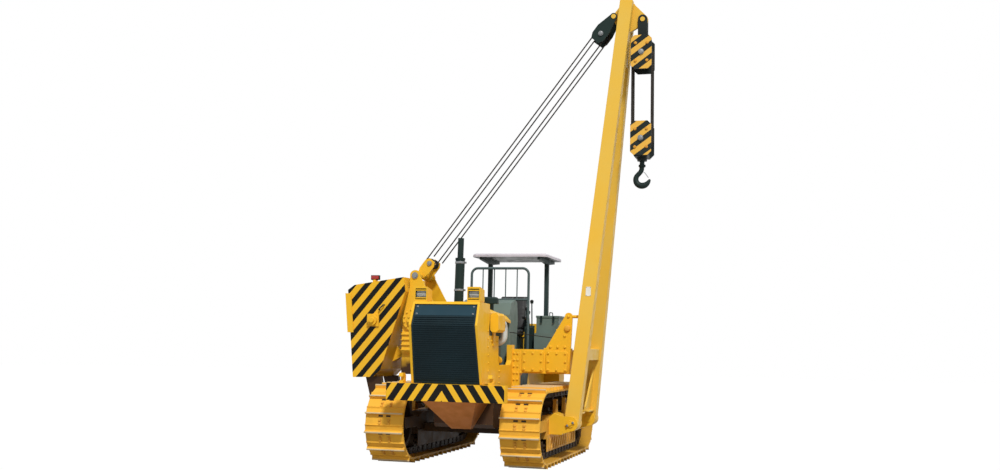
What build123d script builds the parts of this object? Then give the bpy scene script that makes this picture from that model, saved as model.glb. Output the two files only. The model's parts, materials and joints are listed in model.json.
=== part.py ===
"""A sideboom pipelayer: a crawler tractor with a boom on its left and a counterweight on its right.

Lengths are in millimetres. The tractor is drawn about its own centreline, with +X to the boom side,
-Y to the radiator and Z = 0 at the grouser tips. part_frame() then moves every piece so that the origin
is on the ground, below the middle of the machine's overall box.
"""
import os
from math import atan2, cos, degrees, hypot, pi, radians, sin, tan

from build123d import *

# Crawler undercarriage
TRACK_GAUGE = 2120
SHOE_WIDTH = 610
LINK_PITCH = 225
SHOE_COUNT = 40
PITCH_RADIUS = 460
SHOE_INNER, SHOE_FACE, SHOE_RIDGE, GROUSER_TIP = 62, 90, 110, 150
GROUSER_BASE, GROUSER_TOP, GROUSER_EDGE = 36, 18, 10
RAIL_DEPTH, RAIL_INNER, RAIL_OUTER = 45, 62, 107
WHEEL_GAP = 0.5
IDLER_FLANGE, IDLER_HUB, IDLER_AXLE = 34, 110, 45
SPROCKET_TEETH = 26
SPROCKET_HALF, TOOTH_TIP, TOOTH_ROOT = 38, 12, -42
SPROCKET_HUB = 240
ROLLER_RADIUS, ROLLER_COUNT, ROLLER_STEP = 100, 7, 320
CARRIER_RADIUS, CARRIER_SPOTS = 85, (-330, 330)
FRAME_HALF, FRAME_LOW, FRAME_HIGH = 170, 405, 750
FRAME_FRONT, FRAME_REAR = -1060, 1010
FORK_THICK, FORK_HALF_HEIGHT = 34, 85
GUARD_THICK, GUARD_LOW, GUARD_HIGH = 18, 215, 470
RIB_COUNT, RIB_WIDTH, RIB_PROUD, RIB_SLANT = 12, 24, 12, 55

# Hull, engine bay and nose
HULL_HALF, HULL_LOW, HULL_HIGH = 480, 560, 1150
HULL_FRONT, HULL_REAR = -2200, 1900
CASE_FRONT, CASE_HIGH = 850, 1690
BAY_WALL, BAY_OUT, BAY_REAR, BAY_HIGH, BAY_REAR_HIGH = 36, 46, -420, 1980, 1850
BAY_NOTCH_FRONT, BAY_NOTCH_REAR, BAY_NOTCH_LOW, BAY_NOTCH_CORNER = -1390, -600, 1530, 70
HARD_BAR_Y, HARD_BAR_HALF, HARD_BAR_DEEP = -640, 130, 125
PIVOT_SHAFT_Y, PIVOT_SHAFT_R, PIVOT_SHAFT_Z = 640, 80, 650
FINAL_DRIVE_R, FINAL_DRIVE_NECK = 330, 235
BUMPER_WIDTH, BUMPER_FRONT, BUMPER_DEEP, BUMPER_LOW, BUMPER_HIGH = 1840, -2415, 170, 998, 1252
TOW_HOOK_X, TOW_HOOK_THICK = 690, 60
CHIN_Y, CHIN_Z = -1450, 1020
SUMP_TOP_HALF, SUMP_FOOT_HALF, SUMP_FOOT_DEEP, SUMP_FOOT_Z = 440, 155, 110, 550
NOSE_Y, NOSE_Z = -2570, 2115
NOSE_TOP_Y, NOSE_TOP_Z = -2415, 2466
NOSE_FOOT_Y, NOSE_FOOT_Z = -2330, 1258
NOSE_HALF, NOSE_LEAN = 528, 1.4
NOSE_TOP_DEEP, NOSE_TOP_BAR = 200, 40
CHEEK_THICK, CHEEK_REAR, CHEEK_REAR_TOP, SILL_HIGH = 34, -1940, -1895, 50
CHEEK_STEP_LOW, CHEEK_STEP_HIGH = 2080, 2220
GRILLE_SHEET, GRILLE_BARS, GRILLE_BACK, GRILLE_PLATE = 10, 18, 14, 185
SLOT_ROWS, SLOT_HEIGHT, SLOT_MARGIN = 30, 15, 26
HOOD_HALF, HOOD_SHOULDER, HOOD_THICK, HOOD_DROP, HOOD_GAP = 455, 80, 14, 120, 2.3
HOOD_HIGH, HOOD_REAR_HIGH, HOOD_REAR = 2455, 2320, -420
LAMP_X, LAMP_WIDTH, LAMP_DEEP, LAMP_HIGH, LAMP_SET = 412, 200, 230, 220, 20
LAMP_WALL, LAMP_LENS, LAMP_LENS_HALF, LAMP_BAR_RISE = 16, 70, 44, 58
ENGINE_HALF, ENGINE_FRONT, ENGINE_REAR, ENGINE_HIGH = 330, -1900, -560, 2060
ENGINE_HEAD_IN, ENGINE_HEAD_LOW, ENGINE_COVER_LOW, ENGINE_COVERS = 90, 265, 95, 3
EXHAUST_X, EXHAUST_Y, EXHAUST_R, EXHAUST_TIP_R = -200, -1200, 74, 48
EXHAUST_STEP, EXHAUST_HIGH, EXHAUST_LEAN = 3211, 3532, 2.8
PRECLEANER_X, PRECLEANER_Y, PRECLEANER_R, PRECLEANER_HIGH, PRECLEANER_STEM = 260, -1000, 140, 2600, 62
AIR_BOX_OUT, AIR_BOX_FRONT, AIR_BOX_REAR, AIR_BOX_LOW, AIR_BOX_HIGH = 130, -1885, -1500, 2030, 2320
AIR_BRACKET, AIR_BRACKET_HALF, AIR_BRACKET_DROP = 20, 60, 200
AIR_PIPE_R, AIR_PIPE_BEND, AIR_PIPE_RUN, AIR_PIPE_Z = 52, 95, 190, 1885

# Operator's station
DECK_HIGH, DECK_HALF, DECK_FRONT, DECK_REAR, DECK_STEP = 1750, 950, 440, 1930, 135
DASH_HALF, DASH_FRONT, DASH_REAR, DASH_HIGH = 430, -418, 130, 2600
SEAT_Y, SEAT_HALF, SEAT_HIGH, SEAT_CUSHION = 1210, 265, 2140, 140
SEAT_BACK_HIGH, SEAT_BACK_THICK, SEAT_DEEP = 2760, 120, 460
BOX_INNER, BOX_OUTER, BOX_FRONT, BOX_REAR, BOX_HIGH = 509, 913, 1130, 1690, 2377
OIL_TANK_HIGH = 2300
LEVER_STAND_X, LEVER_STAND_HALF, LEVER_Y, LEVER_R, KNOB_R = 415, 75, 1010, 11, 27
RAIL_Y, RAIL_HALF, RAIL_HIGH, RAIL_BEND, RAIL_TUBE, RAIL_MID = 500, 513, 3194, 110, 22, 2630
RAIL_BAR_R, RAIL_BARS, RAIL_MID_R, RAIL_FLANGE, RAIL_FLANGE_R = 10, 4, 18, 20, 53
POST_X, POST_Y, POST_SIDE, POST_HIGH = 537, 1755, 74, 3330
ARM_SHORT, ARM_TIP = 60, 45
ROOF_HALF, ROOF_FRONT, ROOF_REAR, ROOF_LOW, ROOF_HIGH, ROOF_CORNER = 690, 1050, 2350, 3420, 3480, 90
TANK_HALF, TANK_REAR, TANK_LOW, TANK_HIGH, TANK_ROUND = 760, 2340, 1180, 2250, 70
DRAWBAR_Z, DRAWBAR_THICK, DRAWBAR_HALF, DRAWBAR_END = 720, 70, 95, 2450
DRAWBAR_BORE, DRAWBAR_BORE_Y = 35, 2350

# Boom, about its foot pins
BOOM_OUT, BOOM_Z, BOOM_LEAN = 510, 640, 5.8
BOOM_SPREAD, BOOM_LENGTH = 720, 7000
LEG_WIDE, LEG_DEEP, LEG_TOP_WIDE, LEG_TOP_DEEP = 225, 220, 210, 150
LEG_TOP_Y, FOOT_R, FOOT_PIN_R = 112, 116, 55
PIN_FIT = 0.05
FACE_FIT = 0.2
EAR_THICK, EAR_GAP, EAR_R = 45, 20, 115
OUTRIGGER_LOW, OUTRIGGER_HIGH = 470, 800
CROSS_Z, CROSS_HIGH, CROSS_HALF = 1000, 180, 75
GUSSET_LOW, GUSSET_HIGH, GUSSET_WIDE, GUSSET_HALF = 165, 860, 420, 16
HEAD_DEEP, HEAD_HALF = 1100, 95
LUG_DROP, LUG_INNER_X, LUG_OUTER_X, LUG_INNER_R, LUG_OUTER_R, LUG_HALF = 286, -190, 285, 60, 85, 28
LUG_PIN_R = 40
BEAM_FRONT, BEAM_BACK, BEAM_LOW, BEAM_HIGH, BEAM_SHORT = -520, -220, 1400, 1785, 90
BEAM_COVER_THICK, BEAM_COVERS, BEAM_BRACKET = 22, 2, 118
STOP_BACK, STOP_Z, STOP_R, STOP_THICK, STOP_GAP = 130, 2320, 62, 50, 6
STOP_FOOT, STOP_FOOT_DEEP, STOP_RIB_HIGH = 440, 160, 330

# Winches, gantry and counterweight on the right side
GANTRY_Y, GANTRY_THICK = 365, 30
GANTRY_X, GANTRY_Z, GANTRY_BOSS_R, GANTRY_PIN_R = -1240, 2985, 92, 42
GANTRY_OUT, GANTRY_IN, GANTRY_LOW, GANTRY_BASE = -1440, -520, 1330, 70
GANTRY_SHOULDER_Z, GANTRY_NECK_Z = 2250, 2780
GANTRY_KNEE_X, GANTRY_KNEE_Z = -545, 1900
# columns: x and z of the drum's shaft, flange radius
DRUMS = {"luffing": (-1230, 2240, 195), "hoist": (-950, 1850, 185)}
DRUM_R, DRUM_FLANGE, DRUM_SHAFT_R, ROPE_LAYER = 105, 22, 45, 42
DRUM_GAP = 14
WINCH_COVER_R, WINCH_COVER_DEEP = 190, 55
MOTOR_LOW, MOTOR_GAP, MOTOR_DEEP, MOTOR_RIBS, MOTOR_RIB_HALF, MOTOR_RIB_PROUD = 1690, 14, 62, 4, 9, 24
WEIGHT_OUT, WEIGHT_HINGE_Z, WEIGHT_FRONT, WEIGHT_BACK = 740, 720, -520, 560
# columns: x from the hinge, towards the tractor, and height above it
WEIGHT_PROFILE = (
    (-600, 2010),
    (-483, 2094),
    (400, 2230),
    (440, 1990),
    (35, 680),
    (-100, 550),
    (-460, 538),
)
WEIGHT_GROOVES, GROOVE_HALF, GROOVE_FLOOR, GROOVE_REACH = 5, 6, 2070, 60
SLAB_LOW, SLAB_HIGH, SLAB_OUT, SLAB_IN, SLAB_PROUD, SLAB_DEEP = 1290, 1950, 42, 60, 24, 170
BOSS_X, BOSS_Z, BOSS_R, BOSS_PROUD, BOSS_PIN_R, BOSS_PLATE = -122, 1500, 84, 70, 44, 105
WEIGHT_ARM_Y, WEIGHT_ARM_HALF, WEIGHT_ARM_R, WEIGHT_PIN_R, ARM_HIGH = 400, 45, 105, 48, 560
WEIGHT_FOOT_LOW, WEIGHT_FOOT_HIGH = 560, 880
RAM_FOOT_IN, RAM_FOOT_Z, RAM_EYE_IN, RAM_EYE_Z = 920, 1500, 200, 1660
RAM_BARREL_R, RAM_BORE_R, RAM_ROD_R, RAM_PIN_R = 72, 56, 36, 30
RAM_FOOT_R, RAM_EYE_R, RAM_EYE_HALF, RAM_EYE_PLAY, RAM_LUG_GAP, RAM_LUG_THICK = 62, 72, 38, 16, 6, 26
RAM_BARREL_START, RAM_BARREL_END, RAM_GLAND, RAM_ROD_START, RAM_GAP = 82, 650, 45, 112, 0.3

# Rigging
ROPE_R = 12
LINK_LENGTH, LINK_HALF, LINK_HEAD, LINK_WAIST = 280, 98, 70, 120
LUFF_DROP, LUFF_SHEAVE_R, LUFF_SHEAVE_Y, LUFF_SHEAVE_HALF, LUFF_AXLE_R = 350, 86, 110, 18, 32
LUFF_IDLE_R, LUFF_FALL_SHORT = 76, 100
LUFF_CHEEK_IN, LUFF_CHEEK_OUT, LUFF_CHEEK_TOP, LUFF_CHEEK_HALF, LUFF_CHEEK_SKIRT = 138, 158, 60, 132, 150
HOIST_DROP, HOIST_SHEAVE_R, HOIST_SHEAVE_HALF, HOIST_AXLE_R = 590, 150, 20, 34
HOIST_CHEEK_IN, HOIST_CHEEK_OUT, HOIST_CHEEK_HALF = 180, 200, 172
HOIST_CHEEK_RISE, HOIST_CHEEK_CORNER = 285, 60
HOIST_SHEAVE_YS = (-120, 0, 120)
HANGER_IN, HANGER_OUT, HANGER_HALF, HANGER_BEAM = 34, 66, 78, 60
HOOK_DROP, HOOK_YOKE = 2030, 70
HOOK_SHANK_R, HOOK_BEND_R, HOOK_THICK_R, HOOK_LOW = 40, 112, 46, 2853

EDGE = (Align.CENTER, Align.CENTER, Align.MIN)


def block(x, y, z):
    """A box between (low, high) pairs."""
    size = [high - low for low, high in (x, y, z)]
    middle = [(high + low) / 2 for low, high in (x, y, z)]
    return Pos(*middle) * Box(*size)


def mirrored(side, low, high):
    """An (x low, x high) pair on the left side, or its mirror image on the right."""
    return (low, high) if side > 0 else (-high, -low)


def plate_xz(points, y):
    """An outline of (x, z) points, extruded between the y pair."""
    face = make_face(Polyline(*[(x, y[0], z) for x, z in points], close=True))
    return extrude(face, amount=y[1] - y[0], dir=(0, 1, 0))


def plate_yz(points, x):
    """An outline of (y, z) points, extruded between the x pair."""
    face = make_face(Polyline(*[(x[0], y, z) for y, z in points], close=True))
    return extrude(face, amount=x[1] - x[0], dir=(1, 0, 0))


def rod(start, end, radius):
    """A round bar between two points."""
    start, end = Vector(*start), Vector(*end)
    return Plane(origin=start, z_dir=end - start) * Cylinder(radius, (end - start).length, align=EDGE)


def disc_y(x, z, radius, y):
    """A round bar along Y."""
    return rod((x, y[0], z), (x, y[1], z), radius)


def disc_x(y, z, radius, x):
    """A round bar along X."""
    return rod((x[0], y, z), (x[1], y, z), radius)


def joined(shapes):
    """All the shapes fused into one."""
    first, *rest = list(shapes)
    return first.fuse(*rest) if rest else first


def bent_tube(points, radius, bend):
    """A round bar through the points, with a quarter turn of that bend at each corner."""
    points = [Vector(*point) for point in points]
    pieces, start = [], points[0]
    for before, corner, after in zip(points, points[1:], points[2:]):
        along, turned = (corner - before).normalized(), (after - corner).normalized()
        entry, leave = corner - along * bend, corner + turned * bend
        pieces.append(rod(start, entry, radius))
        section = Plane(origin=entry, z_dir=along) * Circle(radius)
        pieces.append(revolve(section, Axis(entry + turned * bend, along.cross(turned)), 90))
        start = leave
    return joined([*pieces, rod(start, points[-1], radius)])


# Track geometry that several pieces share
WHEEL_Z = PITCH_RADIUS + GROUSER_TIP
WHEEL_SPAN = (SHOE_COUNT * LINK_PITCH - 2 * pi * PITCH_RADIUS) / 2
IDLER_Y, SPROCKET_Y = -WHEEL_SPAN / 2, WHEEL_SPAN / 2
TRACK_X = TRACK_GAUGE / 2
RUN_R = PITCH_RADIUS - RAIL_DEPTH - WHEEL_GAP

# What stands beside the tracks keeps its distance from them
BOOM_X = TRACK_X + BOOM_OUT
BEAM_END, STOP_X = BOOM_X - BEAM_SHORT, BOOM_X - STOP_BACK
WEIGHT_HINGE_X = -TRACK_X - WEIGHT_OUT
RAM_EYE_X, RAM_FOOT_X = WEIGHT_HINGE_X + RAM_EYE_IN, WEIGHT_HINGE_X + RAM_FOOT_IN
HEAD_Z, LUG_Z = BOOM_LENGTH - HEAD_DEEP, BOOM_LENGTH - LUG_DROP
LAMP_Y = NOSE_TOP_Y + LAMP_SET
BAY_SIDE = HULL_HALF + BAY_OUT
BAY_FRONT = CHEEK_REAR_TOP + FACE_FIT
HOOD_FRONT = NOSE_TOP_Y + NOSE_TOP_DEEP + HOOD_GAP


def loop_station(travel):
    """Point, forward direction and outward direction on the pitch line, all as (y, z)."""
    half_turn = pi * PITCH_RADIUS
    travel %= 2 * (WHEEL_SPAN + half_turn)
    if travel < WHEEL_SPAN:
        return (IDLER_Y + travel, WHEEL_Z - PITCH_RADIUS), (1, 0), (0, -1)
    travel -= WHEEL_SPAN
    if travel < half_turn:
        return arc_station(SPROCKET_Y, travel / PITCH_RADIUS - pi / 2)
    travel -= half_turn
    if travel < WHEEL_SPAN:
        return (SPROCKET_Y - travel, WHEEL_Z + PITCH_RADIUS), (-1, 0), (0, 1)
    return arc_station(IDLER_Y, (travel - WHEEL_SPAN) / PITCH_RADIUS + pi / 2)


def arc_station(centre_y, turn):
    out = (cos(turn), sin(turn))
    point = (centre_y + PITCH_RADIUS * out[0], WHEEL_Z + PITCH_RADIUS * out[1])
    return point, (-out[1], out[0]), out


def shoe_outline():
    """The loop's outer outline: each shoe is a flat plate with a tall grouser and a low rear ridge."""
    half = LINK_PITCH / 2
    slope = (GROUSER_BASE - GROUSER_TOP) / 2
    # columns: distance along the shoe from its middle, height above the pitch line
    profile = (
        (-half + GROUSER_EDGE, SHOE_FACE),
        (-half + GROUSER_EDGE + slope, GROUSER_TIP),
        (-half + GROUSER_EDGE + slope + GROUSER_TOP, GROUSER_TIP),
        (-half + GROUSER_EDGE + GROUSER_BASE, SHOE_FACE),
        (half - GROUSER_BASE, SHOE_FACE),
        (half - GROUSER_BASE / 2, SHOE_RIDGE),
        (half, SHOE_FACE),
    )
    points = []
    for shoe in range(SHOE_COUNT):
        (y, z), ahead, out = loop_station((shoe + 0.5) * LINK_PITCH)
        for along, high in profile:
            points.append((y + along * ahead[0] + high * out[0], z + along * ahead[1] + high * out[1]))
    return points


def loop_slot(offset, x):
    """A stadium around both wheels, offset outwards from the pitch line, between the x pair."""
    height = 2 * (PITCH_RADIUS + offset)
    plane = Plane((x[0], 0, WHEEL_Z), x_dir=(0, 1, 0), z_dir=(1, 0, 0))
    face = plane * SlotCenterToCenter(WHEEL_SPAN, height)
    return extrude(face, amount=x[1] - x[0], dir=(1, 0, 0))


def track_loop(side):
    """One track: shoes with grousers, and the two rails of its link chain."""
    wide = mirrored(side, TRACK_X - SHOE_WIDTH / 2, TRACK_X + SHOE_WIDTH / 2)
    loop = plate_yz(shoe_outline(), wide) - loop_slot(SHOE_INNER, wide)
    overlap = 5
    for low, high in ((-RAIL_OUTER, -RAIL_INNER), (RAIL_INNER, RAIL_OUTER)):
        rail_x = mirrored(side, TRACK_X + low, TRACK_X + high)
        loop += loop_slot(SHOE_INNER + overlap, rail_x) - loop_slot(-RAIL_DEPTH, rail_x)
    return loop


def idler(side):
    """Front idler: a rim that carries the rails, a guide flange between them and a hub."""
    x = side * TRACK_X
    rim = disc_x(IDLER_Y, WHEEL_Z, RUN_R, (x - RAIL_OUTER, x + RAIL_OUTER))
    flange = disc_x(IDLER_Y, WHEEL_Z, RUN_R + IDLER_FLANGE, (x - RAIL_INNER + 6, x + RAIL_INNER - 6))
    dish = Cylinder(RUN_R - 70, RAIL_OUTER - 35, align=EDGE) - Cylinder(
        IDLER_HUB,
        RAIL_OUTER - 35,
        align=EDGE,
    )
    wheel = rim + flange
    for turn in (1, -1):
        wheel -= Plane((x + turn * 35, IDLER_Y, WHEEL_Z), z_dir=(turn, 0, 0)) * dish
    return wheel + disc_x(IDLER_Y, WHEEL_Z, IDLER_AXLE, (x - FRAME_HALF, x + FRAME_HALF))


def sprocket(side):
    """Rear sprocket: a toothed ring between the rails, with a domed hub cover outside."""
    x = side * TRACK_X
    step = 2 * pi / SPROCKET_TEETH
    # columns: share of a tooth step, height above the pitch line
    tooth = ((-0.30, TOOTH_ROOT), (-0.14, TOOTH_TIP), (0.14, TOOTH_TIP), (0.30, TOOTH_ROOT))
    points = []
    for count in range(SPROCKET_TEETH):
        for share, high in tooth:
            turn = (count + share) * step
            points.append(
                (SPROCKET_Y + (PITCH_RADIUS + high) * cos(turn), WHEEL_Z + (PITCH_RADIUS + high) * sin(turn))
            )
    ring = plate_yz(points, (x - SPROCKET_HALF, x + SPROCKET_HALF))
    hub = disc_x(SPROCKET_Y, WHEEL_Z, SPROCKET_HUB, mirrored(side, TRACK_X - SPROCKET_HALF, TRACK_X + 120))
    cap = disc_x(SPROCKET_Y, WHEEL_Z, SPROCKET_HUB - 70, mirrored(side, TRACK_X, TRACK_X + 165))
    return ring + hub + cap


def rollers(side):
    """Track rollers under the frame and carrier rollers above it, each on its own shaft."""
    x = side * TRACK_X
    low_z = WHEEL_Z - RUN_R + ROLLER_RADIUS
    high_z = WHEEL_Z + RUN_R - CARRIER_RADIUS
    spots = [
        ((count - (ROLLER_COUNT - 1) / 2) * ROLLER_STEP, low_z, ROLLER_RADIUS)
        for count in range(ROLLER_COUNT)
    ]
    spots += [(y, high_z, CARRIER_RADIUS) for y in CARRIER_SPOTS]
    shapes = []
    for y, z, radius in spots:
        tread = disc_x(y, z, radius, (x - RAIL_OUTER, x + RAIL_OUTER))
        shaft = disc_x(y, z, radius * 0.4, (x - FRAME_HALF, x + FRAME_HALF))
        shapes.append(tread + shaft)
    return shapes


def track_frame(side):
    """Roller frame: a box beam with an idler fork, roller guards and carrier roller stands."""
    x = side * TRACK_X
    beam = plate_yz(
        [
            (FRAME_FRONT, FRAME_LOW),
            (FRAME_REAR, FRAME_LOW),
            (FRAME_REAR, FRAME_HIGH - 120),
            (FRAME_REAR - 160, FRAME_HIGH),
            (FRAME_FRONT + 260, FRAME_HIGH),
            (FRAME_FRONT, FRAME_HIGH - 90),
        ],
        (x - FRAME_HALF, x + FRAME_HALF),
    )
    pieces = [beam]
    for edge in (-1, 1):
        inner, outer = sorted((x + edge * (FRAME_HALF - FORK_THICK), x + edge * FRAME_HALF))
        arm = block(
            (inner, outer),
            (IDLER_Y - 90, FRAME_FRONT + 20),
            (WHEEL_Z - FORK_HALF_HEIGHT, WHEEL_Z + FORK_HALF_HEIGHT),
        )
        pieces.append(arm - disc_x(IDLER_Y, WHEEL_Z, IDLER_AXLE + WHEEL_GAP, (inner, outer)))
        inner, outer = sorted((x + edge * FRAME_HALF, x + edge * (FRAME_HALF + GUARD_THICK)))
        guard_end = (ROLLER_COUNT - 1) / 2 * ROLLER_STEP + ROLLER_RADIUS
        pieces.append(block((inner, outer), (-guard_end, guard_end), (GUARD_LOW, GUARD_HIGH)))
    rib_x = mirrored(side, TRACK_X + FRAME_HALF + GUARD_THICK, TRACK_X + FRAME_HALF + GUARD_THICK + RIB_PROUD)
    guard_end = (ROLLER_COUNT - 1) / 2 * ROLLER_STEP + ROLLER_RADIUS
    rib_step = 2 * (guard_end - RIB_SLANT) / RIB_COUNT
    for count in range(RIB_COUNT):
        y = -guard_end + RIB_SLANT + (count + 0.5) * rib_step
        pieces.append(
            plate_yz(
                [
                    (y - RIB_SLANT, GUARD_LOW + 30),
                    (y - RIB_SLANT + RIB_WIDTH, GUARD_LOW + 30),
                    (y + RIB_SLANT, GUARD_HIGH - 60),
                    (y + RIB_SLANT - RIB_WIDTH, GUARD_HIGH - 60),
                ],
                rib_x,
            )
        )
    carrier_z = WHEEL_Z + RUN_R - CARRIER_RADIUS
    for y in CARRIER_SPOTS:
        for edge in (-1, 1):
            inner, outer = sorted((x + edge * (RAIL_OUTER + 8), x + edge * FRAME_HALF))
            stand = plate_yz(
                [
                    (y - 75, FRAME_HIGH - 5),
                    (y + 75, FRAME_HIGH - 5),
                    (y + 55, carrier_z + 50),
                    (y - 55, carrier_z + 50),
                ],
                (inner, outer),
            )
            pieces.append(stand - disc_x(y, carrier_z, CARRIER_RADIUS * 0.4 + WHEEL_GAP, (inner, outer)))
    return joined(pieces)


def final_drive(side):
    """Final drive case between the hull and the sprocket."""
    case = disc_x(
        SPROCKET_Y,
        WHEEL_Z,
        FINAL_DRIVE_R,
        mirrored(side, HULL_HALF + 20, TRACK_X - RAIL_OUTER - 60),
    )
    neck = disc_x(
        SPROCKET_Y,
        WHEEL_Z,
        FINAL_DRIVE_NECK,
        mirrored(side, HULL_HALF + 20, TRACK_X - SPROCKET_HALF),
    )
    return case + neck


def main_frame():
    """Hull from the nose to the steering case, with the engine bay's side walls."""
    hull = plate_yz(
        [
            (HULL_FRONT, CHIN_Z),
            (CHIN_Y, CHIN_Z),
            (CHIN_Y, HULL_LOW + 60),
            (CHIN_Y + 60, HULL_LOW),
            (HULL_REAR - 120, HULL_LOW),
            (HULL_REAR, HULL_LOW + 140),
            (HULL_REAR, CASE_HIGH),
            (CASE_FRONT, CASE_HIGH),
            (CASE_FRONT - 200, HULL_HIGH),
            (HULL_FRONT, HULL_HIGH),
        ],
        (-HULL_HALF, HULL_HALF),
    )
    pieces = [hull]
    for side in (1, -1):
        corner = BAY_NOTCH_CORNER
        wall = plate_yz(
            [
                (BAY_FRONT, HULL_HIGH - 30),
                (BAY_REAR, HULL_HIGH - 30),
                (BAY_REAR, BAY_REAR_HIGH),
                (BAY_NOTCH_REAR, BAY_REAR_HIGH),
                (BAY_NOTCH_REAR, BAY_NOTCH_LOW + corner),
                (BAY_NOTCH_REAR - corner, BAY_NOTCH_LOW),
                (BAY_NOTCH_FRONT + corner, BAY_NOTCH_LOW),
                (BAY_NOTCH_FRONT, BAY_NOTCH_LOW + corner),
                (BAY_NOTCH_FRONT, BAY_HIGH),
                (BAY_FRONT, BAY_HIGH),
            ],
            mirrored(side, HULL_HALF - BAY_WALL, BAY_SIDE),
        )
        pieces.append(wall)
        pieces.append(
            disc_x(SPROCKET_Y, WHEEL_Z, FINAL_DRIVE_NECK + 90, mirrored(side, HULL_HALF - 40, HULL_HALF + 20))
        )
    return joined(pieces)


def hard_bars():
    """Cross bar and pivot shaft that carry the track frames."""
    reach = TRACK_X - FRAME_HALF - GUARD_THICK
    bar = block(
        (-reach, reach),
        (HARD_BAR_Y - HARD_BAR_HALF, HARD_BAR_Y + HARD_BAR_HALF),
        (HULL_LOW - HARD_BAR_DEEP, HULL_LOW),
    )
    shafts = []
    for side in (1, -1):
        shafts.append(
            disc_x(
                PIVOT_SHAFT_Y,
                PIVOT_SHAFT_Z,
                PIVOT_SHAFT_R,
                mirrored(side, HULL_HALF, TRACK_X - FRAME_HALF),
            )
        )
    return Compound([bar, *shafts])


def bumper():
    """Front beam with two tow hooks on its top."""
    beam = block(
        (-BUMPER_WIDTH / 2, BUMPER_WIDTH / 2),
        (BUMPER_FRONT, BUMPER_FRONT + BUMPER_DEEP),
        (BUMPER_LOW, BUMPER_HIGH),
    )
    beam = fillet(beam.edges().filter_by(Axis.Z).group_by(Axis.Y)[0], 18)
    carrier = block(
        (-HULL_HALF, HULL_HALF),
        (BUMPER_FRONT + BUMPER_DEEP - 5, HULL_FRONT),
        (BUMPER_LOW + 30, HULL_HIGH),
    )
    pieces = [beam, carrier]
    middle_y = BUMPER_FRONT + BUMPER_DEEP / 2
    for side in (1, -1):
        hook = plate_yz(
            [
                (middle_y - 60, BUMPER_HIGH - 5),
                (middle_y + 75, BUMPER_HIGH - 5),
                (middle_y + 75, BUMPER_HIGH + 110),
                (middle_y + 30, BUMPER_HIGH + 150),
                (middle_y - 60, BUMPER_HIGH + 150),
                (middle_y - 75, BUMPER_HIGH + 95),
                (middle_y + 15, BUMPER_HIGH + 90),
                (middle_y + 15, BUMPER_HIGH + 45),
                (middle_y - 60, BUMPER_HIGH + 35),
            ],
            mirrored(side, TOW_HOOK_X - TOW_HOOK_THICK / 2, TOW_HOOK_X + TOW_HOOK_THICK / 2),
        )
        pieces.append(hook)
    return joined(pieces)


def sump_guard():
    """Plough shaped guard under the nose: its front slopes back and its sides run in to a narrow foot."""
    front, rear = BUMPER_FRONT + BUMPER_DEEP, CHIN_Y - FACE_FIT
    top = CHIN_Z - FACE_FIT
    from_side = [(front, top), (rear, top), (rear, SUMP_FOOT_Z), (rear - SUMP_FOOT_DEEP, SUMP_FOOT_Z)]
    from_front = [
        (-SUMP_TOP_HALF, top),
        (SUMP_TOP_HALF, top),
        (SUMP_FOOT_HALF, SUMP_FOOT_Z),
        (-SUMP_FOOT_HALF, SUMP_FOOT_Z),
    ]
    return plate_yz(from_side, (-SUMP_TOP_HALF, SUMP_TOP_HALF)) & plate_xz(from_front, (front, rear))


def nose_outline(inset=0):
    """The radiator guard's side outline as (y, z), with its front moved back by inset."""
    return [
        (NOSE_FOOT_Y + inset, NOSE_FOOT_Z),
        (NOSE_Y + inset, NOSE_Z),
        (NOSE_TOP_Y + inset, NOSE_TOP_Z),
    ]


def nose_half(z):
    """Half width outside the leaning cheeks at a height."""
    return NOSE_HALF + (NOSE_Z - z) * tan(radians(NOSE_LEAN))


def radiator_guard():
    """Surround of the radiator: two leaning cheeks, a top bar, a sill and its plinth."""
    outline = nose_outline() + [
        (CHEEK_REAR_TOP, HOOD_HIGH),
        (CHEEK_REAR_TOP, CHEEK_STEP_HIGH),
        (CHEEK_REAR, CHEEK_STEP_LOW),
        (CHEEK_REAR, NOSE_FOOT_Z),
    ]
    pieces = []
    for side in (1, -1):
        cheek = plate_yz(outline, mirrored(side, -CHEEK_THICK, 0))
        leaning = Rot(0, -side * NOSE_LEAN, 0) * Pos(0, 0, -NOSE_Z) * cheek
        pieces.append(Pos(side * NOSE_HALF, 0, NOSE_Z) * leaning)
    bar = NOSE_TOP_BAR
    slope = (NOSE_Y - NOSE_TOP_Y) / (NOSE_TOP_Z - NOSE_Z)
    top_half = nose_half(NOSE_TOP_Z) - CHEEK_THICK / 2
    top = plate_yz(
        [
            (NOSE_TOP_Y, NOSE_TOP_Z),
            (NOSE_TOP_Y + NOSE_TOP_DEEP, NOSE_TOP_Z),
            (NOSE_TOP_Y + NOSE_TOP_DEEP, NOSE_TOP_Z - bar),
            (NOSE_TOP_Y + bar * slope, NOSE_TOP_Z - bar),
        ],
        (-top_half, top_half),
    )
    sill_half = nose_half(NOSE_FOOT_Z) - CHEEK_THICK / 2
    sill_y = (NOSE_FOOT_Y + GRILLE_BACK + GRILLE_BARS + GRILLE_SHEET + FACE_FIT, ENGINE_FRONT - 10)
    sill = block((-sill_half, sill_half), sill_y, (NOSE_FOOT_Z, NOSE_FOOT_Z + SILL_HIGH))
    plinth = block((-HULL_HALF, HULL_HALF), (HULL_FRONT + 20, sill_y[1]), (HULL_HIGH, NOSE_FOOT_Z + 5))
    return joined([*pieces, top, sill, plinth])


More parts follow.
